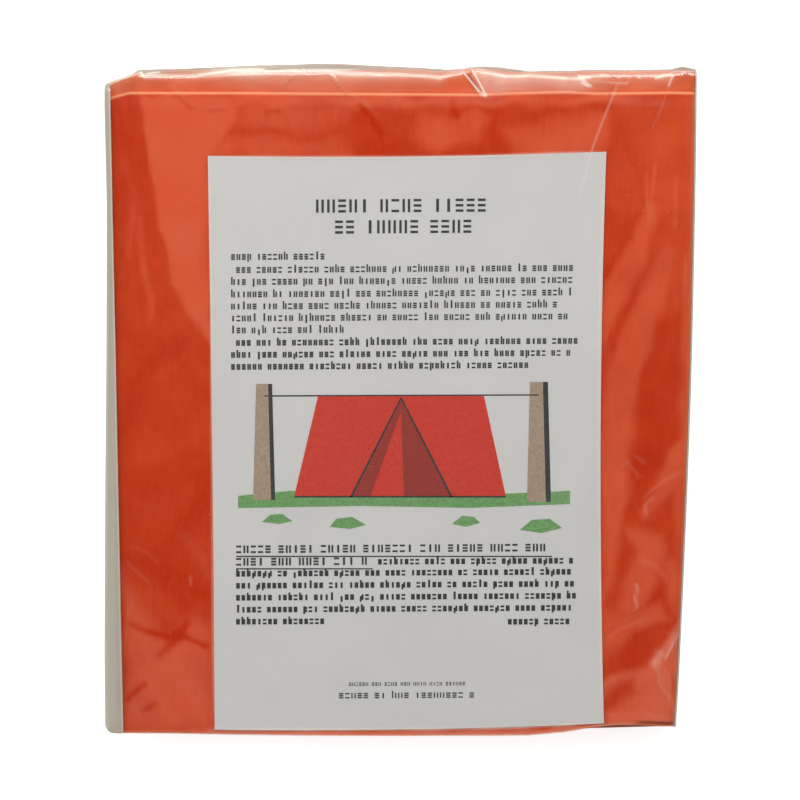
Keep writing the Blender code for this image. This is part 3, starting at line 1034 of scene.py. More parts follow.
@dataclass
class TentStack:
    """The tube tent, folded lengthwise into a strip and then to and fro.

    A field whose name ends in rise holds where a change starts and over what length it comes in.
    """

    leaf_thickness: float = 0.00126
    leaf_play: float = 0.0003
    tube_length: float = 2.4384
    front_drop: float = 0.0070
    panel_edges: int = 4
    front_steps: int = 215
    back_steps: int = 16
    bend_steps: int = 8
    fine_step: float = 0.0010
    coarse_steps: int = 5
    shown_leaf: int = 2
    shown_end: float = 0.012
    shown_steps: int = 12
    face_depth: float = 0.06
    front_depth: float = 0.15
    face_reach: float = 0.05
    side_waves: Waves = Waves(0.0, 0.0004, 0.05, 11)
    side_spread: float = 0.09
    side_rise: tuple[float, float] = (0.12, 0.2)
    end_waves: Waves = Waves(0.0, 0.0006, 0.05, 5)
    end_spread: float = 0.1
    end_depth: float = 0.3
    far_widening: float = 0.0005
    widening_reach: float = 0.02
    front_start: float = 0.014
    front_reach: float = 0.012
    deep_start: float = 0.010
    deep_reach: float = 0.008
    sag: Waves = Waves(0.0, 0.00018, 0.045, 3)
    sag_reach: float = 0.01
    fold_band: float = 0.0013
    front_fold_fade: float = 1.8
    deep_fold_fade: float = 1.6
    side_band: float = 0.0016
    front_fold_highlight: float = 0.77
    deep_fold_white_and_lit: float = 0.36
    bottom_fold_white: float = 0.42
    side_highlight: float = 0.45
    strip_painted_light: float = 0.20
    strip_start: float = 0.016
    strip_reach: float = 0.006
    strip_bright: float = 0.0045
    strip_mottle: Waves = Waves(1.0, 0.25, 0.009, 17)
    strip_squeeze: float = 2.5
    plain_painted_light: float = 0.24
    patchiness: Waves = Waves(0.9, 0.15, 0.016, 55)
    deep_painted_light: Waves = Waves(0.80, 0.20, 0.02, 13)
    left_shade: float = 0.16
    left_shade_reach: float = 0.018

    def section(self, bm: bmesh.types.BMesh) -> bmesh.types.BMFace:
        """The strip's cross-section at its free end: a bar whose sides show its lengthwise folds.

        Args:
            bm: the mesh that the section is drawn in.

        Returns:
            The section's face.
        """
        low, high = LAYERS.tent
        points: list[Vector] = []
        panel = self.leaf_thickness / self.panel_edges
        y = low[1]
        left, right = LAYERS.strip_edge(-1, y), LAYERS.strip_edge(1, y)
        inset = panel / 2
        flat = right - left - 2 * inset
        levels = [high[2] - (edge + 0.5) * panel for edge in range(self.panel_edges)]
        for step in range(self.front_steps + 1):
            points.append(Vector((left + inset + flat * step / self.front_steps, y, high[2])))
        for level in levels:
            for turn in (math.pi / 4, 0.0, -math.pi / 4):
                x = right - inset + inset * math.cos(turn)
                points.append(Vector((x, y, level + inset * math.sin(turn))))
        for step in range(self.back_steps + 1):
            x = right - inset - flat * step / self.back_steps
            points.append(Vector((x, y, high[2] - self.leaf_thickness)))
        for level in reversed(levels):
            for turn in (-math.pi / 4, 0.0, math.pi / 4):
                x = left + inset - inset * math.cos(turn)
                points.append(Vector((x, y, level + inset * math.sin(turn))))
        return bm.faces.new([bm.verts.new(point) for point in points])

    def pushed(self, bm: bmesh.types.BMesh, face: bmesh.types.BMFace, inner: list) -> bmesh.types.BMFace:
        """Extrudes a face.

        Args:
            bm: the mesh.
            face: the face, which ends up inside the strip.
            inner: collects such faces.

        Returns:
            The new end face.
        """
        made = bmesh.ops.extrude_face_region(bm, geom=[face])["geom"]
        inner.append(face)
        return next(item for item in made if isinstance(item, bmesh.types.BMFace))

    def fold_up(self, bm: bmesh.types.BMesh) -> None:
        """Sweeps the section along the strip's path, leaf after leaf, until its length is used up.

        Args:
            bm: the mesh that the strip is built in.
        """
        low, high = LAYERS.tent
        inner: list[bmesh.types.BMFace] = []
        face = self.section(bm)
        pitch = self.leaf_thickness + self.leaf_play
        outside = self.leaf_thickness + self.leaf_play / 2
        left = self.tube_length
        leaf, place = 0, low[1]
        while True:
            heading = -1 if leaf % 2 else 1
            fold = low[1] if leaf % 2 else high[1] - (self.front_drop if leaf == 0 else 0.0)
            run = min(abs(fold - heading * outside - place), left)
            strides = [run / self.coarse_steps] * self.coarse_steps
            if leaf == 0:
                strides = [self.fine_step] * round(run / self.fine_step)
                strides[-1] += run - sum(strides)
            elif leaf == self.shown_leaf:
                strides = [(run - self.shown_end) / self.coarse_steps] * self.coarse_steps
                strides += [self.shown_end / self.shown_steps] * self.shown_steps
            for stride in strides:
                face = self.pushed(bm, face, inner)
                bmesh.ops.translate(bm, verts=face.verts, vec=Vector((0, heading * stride, 0)))
            place += heading * run
            left -= run + math.pi * pitch / 2
            if left <= math.pi * pitch / 2:
                break
            centre = Vector((0, place, high[2] - outside - leaf * pitch))
            turn = Matrix.Rotation(-heading * math.pi / self.bend_steps, 3, "X")
            for _ in range(self.bend_steps):
                face = self.pushed(bm, face, inner)
                bmesh.ops.rotate(bm, verts=face.verts, cent=centre, matrix=turn)
            leaf += 1
        for hidden in inner[1:]:
            bm.faces.remove(hidden)

    def whitening_and_highlight(
        self, share: np.ndarray, x: np.ndarray, y: np.ndarray, is_front: np.ndarray
    ) -> np.ndarray:
        """How much the film is painted paler at its folds, at its sides and between the two top folds: fold
        whitening with painted highlights, and painted light on the strip between the folds.

        Args:
            share: places across the strip, 0 at its left edge and 1 at its right.
            x: places across.
            y: places along.
            is_front: where the front leaf is.

        Returns:
            The shares.
        """
        low, high = LAYERS.tent
        front_y, band = high[1] - self.front_drop, self.fold_band
        to_side = np.where(is_front, 1 - share, np.minimum(share, 1 - share))
        # Between the two top folds the deeper leaf is painted lighter, most near the deep fold: painted light
        strip = self.strip_painted_light * (1 + rising(y, high[1] - self.strip_bright, self.strip_bright))
        strip = strip * rising(y, high[1] - self.strip_start, self.strip_reach)
        strip = strip * self.strip_mottle.at(x, self.strip_squeeze * y)
        # Painted highlights with whitening along the top folds, painted highlights along the strip's sides,
        # whitening at the bottom fold
        return np.maximum.reduce([
            self.front_fold_highlight * is_front * rising(y, front_y - band, band / self.front_fold_fade),
            self.deep_fold_white_and_lit * ~is_front * rising(y, high[1] - band, band / self.deep_fold_fade),
            ~is_front * strip,
            self.bottom_fold_white * smooth_step((low[1] + band - y) / band),
            self.side_highlight * smooth_step(1 - to_side / self.side_band),
        ])

    def settle(self, bm: bmesh.types.BMesh) -> dict[str, np.ndarray]:
        """Gives the strip its taper, its uneven ends and the soft sag of folded film.

        Args:
            bm: the folded strip.

        Returns:
            How much painted light and shade, and how much fold whitening with painted highlight, the film has
            at each vertex.
        """
        low, high = LAYERS.tent
        at = coordinates(bm)
        x, y, z = at.T.copy()
        depth = (high[2] - z) / (high[2] - low[2])
        is_front = depth < self.front_depth
        front_y = high[1] - self.front_drop
        base_left, base_right = LAYERS.strip_edge(-1, low[1]), LAYERS.strip_edge(1, low[1])
        share = (x - base_left) / (base_right - base_left)
        uneven = self.side_waves.above(y, depth * self.side_spread) * rising(depth, *self.side_rise)
        wider = rising(y, high[1] - self.widening_reach, self.widening_reach)
        wider = wider * rising(depth, self.face_depth, self.face_reach)
        inward = uneven - self.far_widening * wider
        new_left, new_right = LAYERS.strip_edge(-1, y) + inward, LAYERS.strip_edge(1, y) - inward
        at[:, 0] = new_left + share * (new_right - new_left)
        at[:, 1] += bottom_lift(at[:, 0], y)
        front_drop = FRONT_FOLD_DROP.along(at[:, 0]) * rising(y, front_y - self.front_start, self.front_reach)
        end = self.end_waves.above(x, depth * self.end_spread)
        deep_drop = DEEP_FOLD_DROP.along(at[:, 0]) + end * (depth > self.end_depth)
        deep_drop = deep_drop * rising(y, high[1] - self.deep_start, self.deep_reach)
        at[:, 1] -= np.where(is_front, front_drop, deep_drop)
        sag = self.sag.above(x, y) * (depth < self.face_depth)
        at[:, 2] -= sag * smooth_step((front_y - y) / self.sag_reach)
        # Painted light and sheen from the zones and creases; painted shade along the strip's left edge and
        # beside creases
        painted_light = self.plain_painted_light + zoned("painted_light", at[:, 0], at[:, 1]) * self.patchiness.at(x, y)
        shade = self.left_shade * np.exp(-share / self.left_shade_reach) * is_front
        for crease in CREASES:
            reach = crease.reach(at[:, 0], at[:, 1], high[2])
            painted_light += crease.painted_light * reach
            shade += crease.shade * reach
        # The deeper leaves, seen between the top folds, get a strong painted light
        painted_light = np.where(is_front, painted_light, self.deep_painted_light.at(x, y))
        move_to(bm, at)
        return {
            "painted_light": np.clip(painted_light, 0, 1),
            "whitened_and_lit": self.whitening_and_highlight(share, x, y, is_front),
            "shade": np.clip(shade, 0, 1),
        }

    def build(self, material: bpy.types.Material) -> None:
        """Folds the strip and dresses it.

        Args:
            material: the tent's film.
        """
        bm = bmesh.new()
        self.fold_up(bm)
        looks = self.settle(bm)
        bmesh.ops.recalc_face_normals(bm, faces=bm.faces)
        piece = finished(
            "folded_tube_tent", bm, material, Body.TENT, ("folded_tent_tube",), looks
        )


@dataclass
class FilmBag:
    """The clear bag: a film folded at its bottom and welded at its sides, with a flap and a lip.

    A field whose name ends in rise holds where a change starts and over what length it comes in.
    """

    flat_share: float = 0.90
    across_steps: int = 300
    along_steps: int = 310
    back_steps: int = 70
    column_knots: tuple[tuple[float, ...], ...] = ((-1, -0.413, 0.28, 1), (-1, -0.57, 0.53, 1))
    row_knots: tuple[tuple[float, ...], ...] = ((-1, -0.871, 0.50, 1), (-1, -0.93, 0.75, 1))
    flap_steps: int = 600
    flap_cell: float = 0.00035
    flap_length: float = 0.0285
    lip_steps: tuple[int, int] = (80, 20)
    path_steps: tuple[int, int] = (400, 30)
    shoulder_height: float = 0.0080
    shoulder_squareness: float = 4.5
    foot_radius: float = 0.001
    bright_share: float = 0.715
    clearance: float = 0.0001
    ripples: tuple[Waves, ...] = (Waves(0.0004, 0.0003, 0.06, 21), Waves(0.0, 0.00006, 0.012, 8))
    least_height: float = 0.00005
    crease_reach: float = 0.006
    plain_haze: Waves = Waves(0.002, 0.004, 0.035, 31)
    patchiness: Waves = Waves(0.9, 0.2, 0.022, 47)
    back_ripple: Waves = Waves(0.0, 0.0001, 0.03, 77)
    back_haze: Waves = Waves(0.03, 0.03, 0.03, 32)
    back_grey_reach: float = 0.1
    fold_row: float = -0.97
    fold_turn: float = 1.7
    corner_lift: float = 0.0011
    weld_start: float = 0.6
    weld_lift: float = 0.0007
    weld_lift_reach: float = 0.004
    lip_gap: float = 0.002
    lip_step: float = 0.003
    lip_ripple: Waves = Waves(0.0, 0.00012, 0.02, 71)
    lip_haze: Waves = Waves(0.05, 0.05, 0.012, 72)
    lip_grey: float = 0.4
    margin_lead: float = 0.02
    margin_haze: float = 0.88
    margin_softness: float = 0.05
    margin_grey: float = 0.5
    margin_grey_start: float = -0.2
    pale_line: float = 0.0005
    margin_turn: float = 3.5
    side_start: float = 0.55
    side_reach: float = 0.25
    gather_waves: tuple[tuple[float, Waves], ...] = (
        (0.006, Waves(0.0, 1.0, 0.022, 61)), (0.004, Waves(0.0, 0.5, 0.009, 64))
    )
    gather_height: float = 0.00020
    gather_start: float = 1.5
    gather_reach: float = 0.00012
    wrinkle_fade: float = 3.0
    line_shares: tuple[float, float] = (0.35, 0.92)
    line_light: float = 0.85
    line_light_gathers: float = 0.3
    line_light_range: tuple[float, float] = (0.4, 1.1)
    line_highlight: float = 0.84
    line_width: float = 0.00075
    below_highlight: float = 0.46
    crest_fade: float = 0.0008
    crest_grey_rise: tuple[float, float] = (0.0006, 0.0009)
    end_haze: tuple[float, float] = (0.3, 0.6)
    end_haze_rise: tuple[float, float] = (0.07, 0.10)
    end_grey_rise: tuple[float, float] = (0.05, 0.07)
    end_side_rise: tuple[float, float] = (0.10, 0.10)
    glint_haze: float = 0.25

    def wrinkles(self, x: np.ndarray, y: np.ndarray) -> np.ndarray:
        """How far the front film stands off what it covers; at the flap's crease it lies flat.

        Args:
            x: places across.
            y: places along the film's front.

        Returns:
            The heights, never below zero.
        """
        rise = sum(ripple.at(x, y) for ripple in self.ripples)
        for crease in CREASES:
            rise = rise + crease.height * crease.reach(x, y, LAYERS.front[1][2])
        return np.maximum(rise, self.least_height) * smooth_step(np.abs(y - LAYERS.crease) / self.crease_reach)

    def haziness(self, x: np.ndarray, y: np.ndarray) -> np.ndarray:
        """How hazy the front film is at each place, with painted reflections from the zones and painted glints
        and pale lines from the creases.

        Args:
            x: places across.
            y: places along the film's front.

        Returns:
            The share of light that the film scatters, painted highlights included.
        """
        haze = self.plain_haze.above(x, y) + zoned("haze", x, y) * self.patchiness.at(x, y)
        for crease in CREASES:
            haze = haze + crease.haze * crease.reach(x, y, LAYERS.front[1][2])
        return np.clip(haze, 0, 1)

    def across(self, u: np.ndarray, y: np.ndarray) -> tuple[np.ndarray, np.ndarray]:
        """Where the film lies across the pack: over the tent first, then in the margin to the weld.

        Args:
            u: places across the film, -1 at the left weld and 1 at the right.
            y: places along.

        Returns:
            X of each place, and how far into the margin it lies.
        """
        out = np.clip((np.abs(u) - self.flat_share) / (1 - self.flat_share), 0, 1)
        edge = np.where(u > 0, LAYERS.strip_edge(1, y), LAYERS.strip_edge(-1, y))
        weld = np.where(u > 0, LAYERS.weld_edge(1, y), LAYERS.weld_edge(-1, y))
        centre = (LAYERS.strip_edge(1, y) + LAYERS.strip_edge(-1, y)) / 2
        x = centre + (edge - centre) * np.minimum(np.abs(u) / self.flat_share, 1)
        return x + (weld - edge) * out, out

    def margin(
        self, u: np.ndarray, x: np.ndarray, y: np.ndarray, lead: float
    ) -> tuple[np.ndarray, np.ndarray]:
        """How the film looks beside the tent, where it lies in two layers: milky and painted grey as shade,
        with a pale line first.

        Args:
            u: places across the film, -1 at the left weld and 1 at the right.
            x: places across the pack.
            y: places along.
            lead: how far before the tent's edge the haze starts, as a share of the margin.

        Returns:
            The haze, and how grey the film is painted as shade, at each place.
        """
        reach = (np.abs(u) - self.flat_share) / (1 - self.flat_share)
        edge = np.where(u > 0, LAYERS.strip_edge(1, y), LAYERS.strip_edge(-1, y))
        into = np.abs(x - edge) * (reach > 0)
        milky = self.margin_haze * rising(reach, -lead, self.margin_softness)
        grey = self.margin_grey + (1 - self.margin_grey) * smooth_step(into / self.pale_line)
        return milky, (reach > self.margin_grey_start) * grey

    def turned_down(self, out: np.ndarray) -> np.ndarray:
        """How far the film beside the tent is turned down to the weld."""
        return rising(out, self.side_start, self.side_reach)

    def wall(self, front: bool) -> tuple[bmesh.types.BMesh, dict[str, np.ndarray]]:
        """One wall of the bag, from its bottom fold to its mouth and from weld to weld.

        Args:
            front: true for the front wall, false for the back.

        Returns:
            The wall's mesh, and its haze, how grey it is painted as shade and how far it is turned down at
            each vertex.
        """
        bm = bmesh.new()
        steps = (self.across_steps, self.along_steps) if front else (self.back_steps, self.back_steps)
        bmesh.ops.create_grid(bm, x_segments=steps[0], y_segments=steps[1], size=1)
        at = coordinates(bm)
        u, v = np.interp(at[:, 0], *self.column_knots), np.interp(at[:, 1], *self.row_knots)
        end = LAYERS.tent[0][1]
        mouth = LAYERS.crease if front else LAYERS.back[1][1]
        fold = CAD_BOX[0][1] + self.clearance
        down = np.clip((self.fold_row - v) / (1 + self.fold_row), 0, 1)
        body = np.clip((v - self.fold_row) / (1 - self.fold_row), 0, 1)
        y = end + body * (mouth - end)
        x, out = self.across(u, y)
        y = y + (fold - end) * down
        y = y + bottom_lift(x, y)
        at_weld = rising(out, self.weld_start, 1 - self.weld_start)
        at_weld = at_weld * smooth_step(1 - (y - fold) / self.weld_lift_reach)
        y = y + self.corner_lift * (out * down) ** 2 + self.weld_lift * at_weld
        height = (1 - out**self.margin_turn) * (1 - down**self.fold_turn)
        if front:
            z = LAYERS.middle + (LAYERS.front[1][2] - LAYERS.middle) * height
            z = z + self.wrinkles(x, y) * height
            haze = self.haziness(x, y)
        else:
            step = LAYERS.lip[0][1] - self.lip_gap
            raised = LAYERS.back[1][2] * rising(y, step - self.lip_step, self.lip_step)
            z = LAYERS.middle - (LAYERS.middle - raised - self.clearance) * height
            z = z + self.back_ripple.above(x, y) * height
            haze = self.back_haze.above(x, y)
        milky, painted_grey = self.margin(u, x, y, self.margin_lead)
        move_to(bm, np.stack([x, y, z], axis=1))
        return bm, {
            "haze_and_glint": np.maximum(haze, milky),
            "painted_grey": painted_grey if front else smooth_step(out / self.back_grey_reach),
            "side": self.turned_down(out),
        }

    def build_sleeve(self, material: bpy.types.Material) -> None:
        """Builds the sleeve's two walls, which meet at the bottom fold and at the welds.

        Args:
            material: the bag's film.
        """
        for front, name, nodes in (
            (True, "film_front", ("bag_front_wall", "bag_left_side", "bag_right_side", "bag_bottom_fold")),
            (False, "film_back", ("bag_back_wall",)),
        ):
            bm, looks = self.wall(front)
            if not front:
                bmesh.ops.reverse_faces(bm, faces=bm.faces)
            piece = finished(name, bm, material, Body.BAG, nodes, looks)

    def flap_path(self) -> np.ndarray:
        """The flap's section from its crease, over the shoulder and down the end, as rows of y, z."""
        high = LAYERS.flap[1]
        deep = high[1] - LAYERS.crease
        turns = np.linspace(math.pi / 2, 0, self.path_steps[0])
        bend = 2 / self.shoulder_squareness
        shoulder = np.stack([
            LAYERS.crease + deep * np.abs(np.cos(turns)) ** bend,
            high[2] - self.shoulder_height * (1 - np.abs(np.sin(turns)) ** bend),
        ], axis=1)
        turns = np.linspace(0, -math.pi / 2, self.path_steps[1])
        foot = np.stack([
            high[1] - self.foot_radius * (1 - np.cos(turns)), self.foot_radius * (1 + np.sin(turns))
        ], axis=1)
        path = np.concatenate([shoulder, foot])
        walked = np.concatenate([[0], np.cumsum(np.hypot(*np.diff(path, axis=0).T))])
        marks = np.linspace(0, walked[-1], round(walked[-1] / self.flap_cell))
        return np.stack([np.interp(marks, walked, path[:, 0]), np.interp(marks, walked, path[:, 1])], axis=1)

    def flap_looks(
        self, u: np.ndarray, x: np.ndarray, y: np.ndarray, down: np.ndarray, gathers: np.ndarray
    ) -> dict[str, np.ndarray]:
        """How hazy, how grey as painted shade and how far turned away from the front the flap is at each
        vertex.

        Args:
            u: places across the film, -1 at the left weld and 1 at the right.
            x: places across the pack.
            y: places along.
            down: how far down the pack's end each place lies, from 0 to 1.
            gathers: the flap's gathers.

        Returns:
            The values of each attribute.
        """
        crease = np.full(len(x), LAYERS.crease)
        above = y - line_y(SHOULDER_LINE_PX, x)
        light = np.clip(self.line_light + self.line_light_gathers * gathers, *self.line_light_range)
        light = SHOULDER_LIGHT.along(x) * light
        crest_grey = CREST_GREY.along(x)
        milky, painted_grey = self.margin(u, x, crease, 0.0)
        # The shoulder line's painted highlight and the painted glow below it, the crest's haze, the end's haze
        # and the margin's milk
        haze = self.haziness(x, y) + np.maximum.reduce([
            self.line_highlight * light * ridge(above, self.line_width),
            self.below_highlight * light * np.exp(np.minimum(above, 0) / SHOULDER_FADE.along(x)) * (above < 0),
            CREST_HAZE.along(x) * smooth_step(above / self.crest_fade),
            (self.end_haze[0] + self.end_haze[1] * crest_grey) * rising(down, *self.end_haze_rise),
            milky,
        ])
        # Painted grey as shade on the crest and down the end; painted glints stay white
        grey = crest_grey * rising(above, *self.crest_grey_rise)
        grey = np.maximum(grey, rising(down, *self.end_grey_rise))
        for glint in CREASES:
            if glint.haze > self.glint_haze:
                grey = grey * (1 - glint.reach(x, y, LAYERS.front[1][2]))
        turned = self.turned_down(self.across(u, crease)[1])
        return {
            "haze_and_glint": np.clip(haze, 0, 1),
            "painted_grey": np.clip(np.maximum(grey, painted_grey), 0, 1),
            "side": np.maximum(turned, rising(down, *self.end_side_rise)),
        }

    def build_flap(self, material: bpy.types.Material) -> None:
        """Builds the flap over the mouth.

        Args:
            material: the bag's film.
        """
        path = self.flap_path()
        bm = bmesh.new()
        bmesh.ops.create_grid(bm, x_segments=self.flap_steps, y_segments=len(path) - 1, size=1)
        at = coordinates(bm)
        u = at[:, 0]
        row = np.rint((1 - at[:, 1]) / 2 * (len(path) - 1)).astype(int)
        y, z = path[row, 0], path[row, 1]
        x, out = self.across(u, np.full(len(at), LAYERS.crease))
        top, deep = LAYERS.flap[1][2], LAYERS.flap[1][1] - LAYERS.crease
        down = (top - z) / top
        past = np.clip((y - LAYERS.crease) / deep, 0, 1)
        reach = deep - CREST_DROP.along(x)
        line = np.clip((line_y(SHOULDER_LINE_PX, x) - LAYERS.crease) / reach, *self.line_shares)
        past = past ** (np.log(line) / math.log(self.bright_share))
        gathers = sum(waves.at(x, past * depth) for depth, waves in self.gather_waves)
        y = LAYERS.crease + reach * past
        sink = (top - LAYERS.middle) * out**self.margin_turn * (1 - down) ** 2
        rise = self.wrinkles(x, y) * (1 - out**self.margin_turn)
        rise = rise * (1 - smooth_step(down * self.wrinkle_fade))
        gathered = self.gather_height * gathers * smooth_step(past * self.gather_start)
        gathered = gathered * (1 - out) * (1 - down)
        z = np.maximum(z + rise - sink + gathered, self.least_height)
        y = y + self.gather_reach * gathers * smooth_step(past * 2 - 1)
        move_to(bm, np.stack([x, y, z], axis=1))
        bmesh.ops.reverse_faces(bm, faces=bm.faces)
        looks = self.flap_looks(u, x, y, down, gathers)
        piece = finished("film_flap", bm, material, Body.FLAP, ("bag_end_flap",), looks)
        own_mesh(piece)

    def build_lip(self, film: bpy.types.Material, adhesive: bpy.types.Material) -> None:
        """Builds the lip on the back and gives the adhesive strip its finish.

        Args:
            film: the bag's film.
            adhesive: the strip's finish.
        """
        low, high = LAYERS.lip
        bm = bmesh.new()
        bmesh.ops.create_grid(bm, x_segments=self.lip_steps[0], y_segments=self.lip_steps[1], size=1)
        at = coordinates(bm)
        x = (low[0] + high[0]) / 2 + at[:, 0] * (high[0] - low[0]) / 2
        y = (low[1] + high[1]) / 2 + at[:, 1] * (high[1] - low[1]) / 2
        z = self.clearance + self.lip_ripple.above(x, y)
        move_to(bm, np.stack([x, y, z], axis=1))
        bmesh.ops.reverse_faces(bm, faces=bm.faces)
        # The lip's haze, and a painted grey for shade
        looks = {
            "haze_and_glint": self.lip_haze.above(x, y),
            "painted_grey": np.full(len(x), self.lip_grey),
            "side": np.zeros(len(x)),
        }
        piece = finished("film_lip", bm, film, Body.LIP, ("bag_lip",), looks)
        bpy.data.objects["adhesive_strip"].material_slots[0].material = adhesive


@dataclass(frozen=True)
class MarkSize:
    """The size of the marks that stand for type, in metres."""

    pitch: float
    height: float
    stroke: float
    capitals: bool = False


class MarkStyle(Enum):
    """The sizes of marks on the leaflet."""

    TITLE = MarkSize(0.0039, 0.0046, 0.00086, True)
    HEADING = MarkSize(0.0026, 0.0027, 0.00066, True)
    PLAIN = MarkSize(0.0019, 0.0020, 0.00052)
    FIRM = MarkSize(0.0019, 0.0020, 0.00060)
    BOLD = MarkSize(0.0019, 0.0020, 0.00068)
    TINY = MarkSize(0.0012, 0.0012, 0.00024, True)
    FOOT = MarkSize(0.0022, 0.0019, 0.00044)


@dataclass(frozen=True)
class TypeRow:
    """One row of plain marks that stands for a row of type; the marks are never letters."""

    style: MarkStyle
    row_px: float
    left_px: float
    right_px: float


class Ink(Enum):
    """The leaflet's inks."""

    BLACK = ("black_ink", "#262628", "#3C3C3E")
    RED = ("red_ink", "#C2301E", "#CC3C2A")
    DEEP_RED = ("deep_red_ink", "#8E2A22", "#9A3229")
    BROWN = ("brown_ink", "#98846F", "#AC9884")
    GREEN = ("green_ink", "#5E8F52", "#79A56B")


@dataclass(frozen=True)
class Shape:
    """One flat shape of the leaflet's diagram."""

    ink: Ink
    corners_px: tuple[tuple[float, float], ...]
    layer: int = 0


TYPE_ROWS: tuple[TypeRow, ...] = (
    TypeRow(MarkStyle.TITLE, 206, 316, 492),
    TypeRow(MarkStyle.TITLE, 227, 335, 477),
    TypeRow(MarkStyle.PLAIN, 257, 231, 328),
    TypeRow(MarkStyle.PLAIN, 270, 236, 573),
    TypeRow(MarkStyle.PLAIN, 282, 231, 576),
    TypeRow(MarkStyle.PLAIN, 294.5, 231, 576),
    TypeRow(MarkStyle.PLAIN, 306.5, 231, 560),
    TypeRow(MarkStyle.PLAIN, 318.5, 231, 568),
    TypeRow(MarkStyle.PLAIN, 330.5, 231, 352),
    TypeRow(MarkStyle.FIRM, 343, 236, 578),
    TypeRow(MarkStyle.FIRM, 355, 231, 572),
    TypeRow(MarkStyle.FIRM, 367, 231, 538),
    TypeRow(MarkStyle.HEADING, 549.5, 236, 551),
    TypeRow(MarkStyle.HEADING, 562, 236, 372),
    TypeRow(MarkStyle.BOLD, 562, 378, 577),
    TypeRow(MarkStyle.BOLD, 574, 236, 572),
    TypeRow(MarkStyle.BOLD, 586, 236, 577),
    TypeRow(MarkStyle.BOLD, 598, 236, 577),
    TypeRow(MarkStyle.BOLD, 610, 236, 576),
    TypeRow(MarkStyle.BOLD, 622, 236, 327),
    TypeRow(MarkStyle.BOLD, 622, 508, 576),
    TypeRow(MarkStyle.TINY, 684.5, 349, 468),
    TypeRow(MarkStyle.FOOT, 696, 339, 478),
)

# A plain end-on view of a tent under a line between two posts
DIAGRAM: tuple[Shape, ...] = (
    Shape(Ink.GREEN, ((238, 496), (290, 491), (350, 494), (420, 490), (500, 494), (570, 491), (570, 504),
                      (470, 508), (360, 506), (238, 508))),
    Shape(Ink.BROWN, ((256, 384), (272, 384), (275, 500), (253, 500)), 1),
    Shape(Ink.BROWN, ((530, 382), (548, 382), (551, 502), (527, 502)), 1),
    Shape(Ink.BLACK, ((268, 384), (272, 384), (275, 500), (271, 500)), 2),
    Shape(Ink.BLACK, ((543, 382), (548, 382), (551, 502), (546, 502)), 2),
    Shape(Ink.BLACK, ((264, 395.3), (539, 394.3), (539, 395.6), (264, 396.6)), 3),
    Shape(Ink.RED, ((318, 396), (484, 396), (506, 497), (294, 497)), 1),
    Shape(Ink.DEEP_RED, ((401, 399), (452, 497), (350, 497)), 2),
    Shape(Ink.RED, ((401, 412), (404, 497), (370, 497)), 3),
    Shape(Ink.BLACK, ((400.3, 398), (402, 398), (352, 497.5), (349.5, 497.5)), 4),
    Shape(Ink.BLACK, ((400.3, 398), (402, 398), (453, 497.5), (450.5, 497.5)), 4),
    Shape(Ink.BLACK, ((294, 496), (506, 496), (506, 497.6), (294, 497.6)), 4),
    Shape(Ink.GREEN, ((262, 522), (270, 515), (282, 514), (292, 521), (280, 524)), 0),
    Shape(Ink.GREEN, ((330, 527), (336, 519), (352, 517), (366, 525), (350, 529)), 0),
    Shape(Ink.GREEN, ((452, 524), (462, 516), (474, 517), (480, 523), (466, 527)), 0),
    Shape(Ink.GREEN, ((520, 530), (532, 520), (550, 519), (562, 528), (542, 533)), 0),
    Shape(Ink.BLACK, ((236, 556), (552, 556), (552, 557.2), (236, 557.2)), 0),
    Shape(Ink.BLACK, ((236, 568.4), (373, 568.4), (373, 569.6), (236, 569.6)), 0),
)


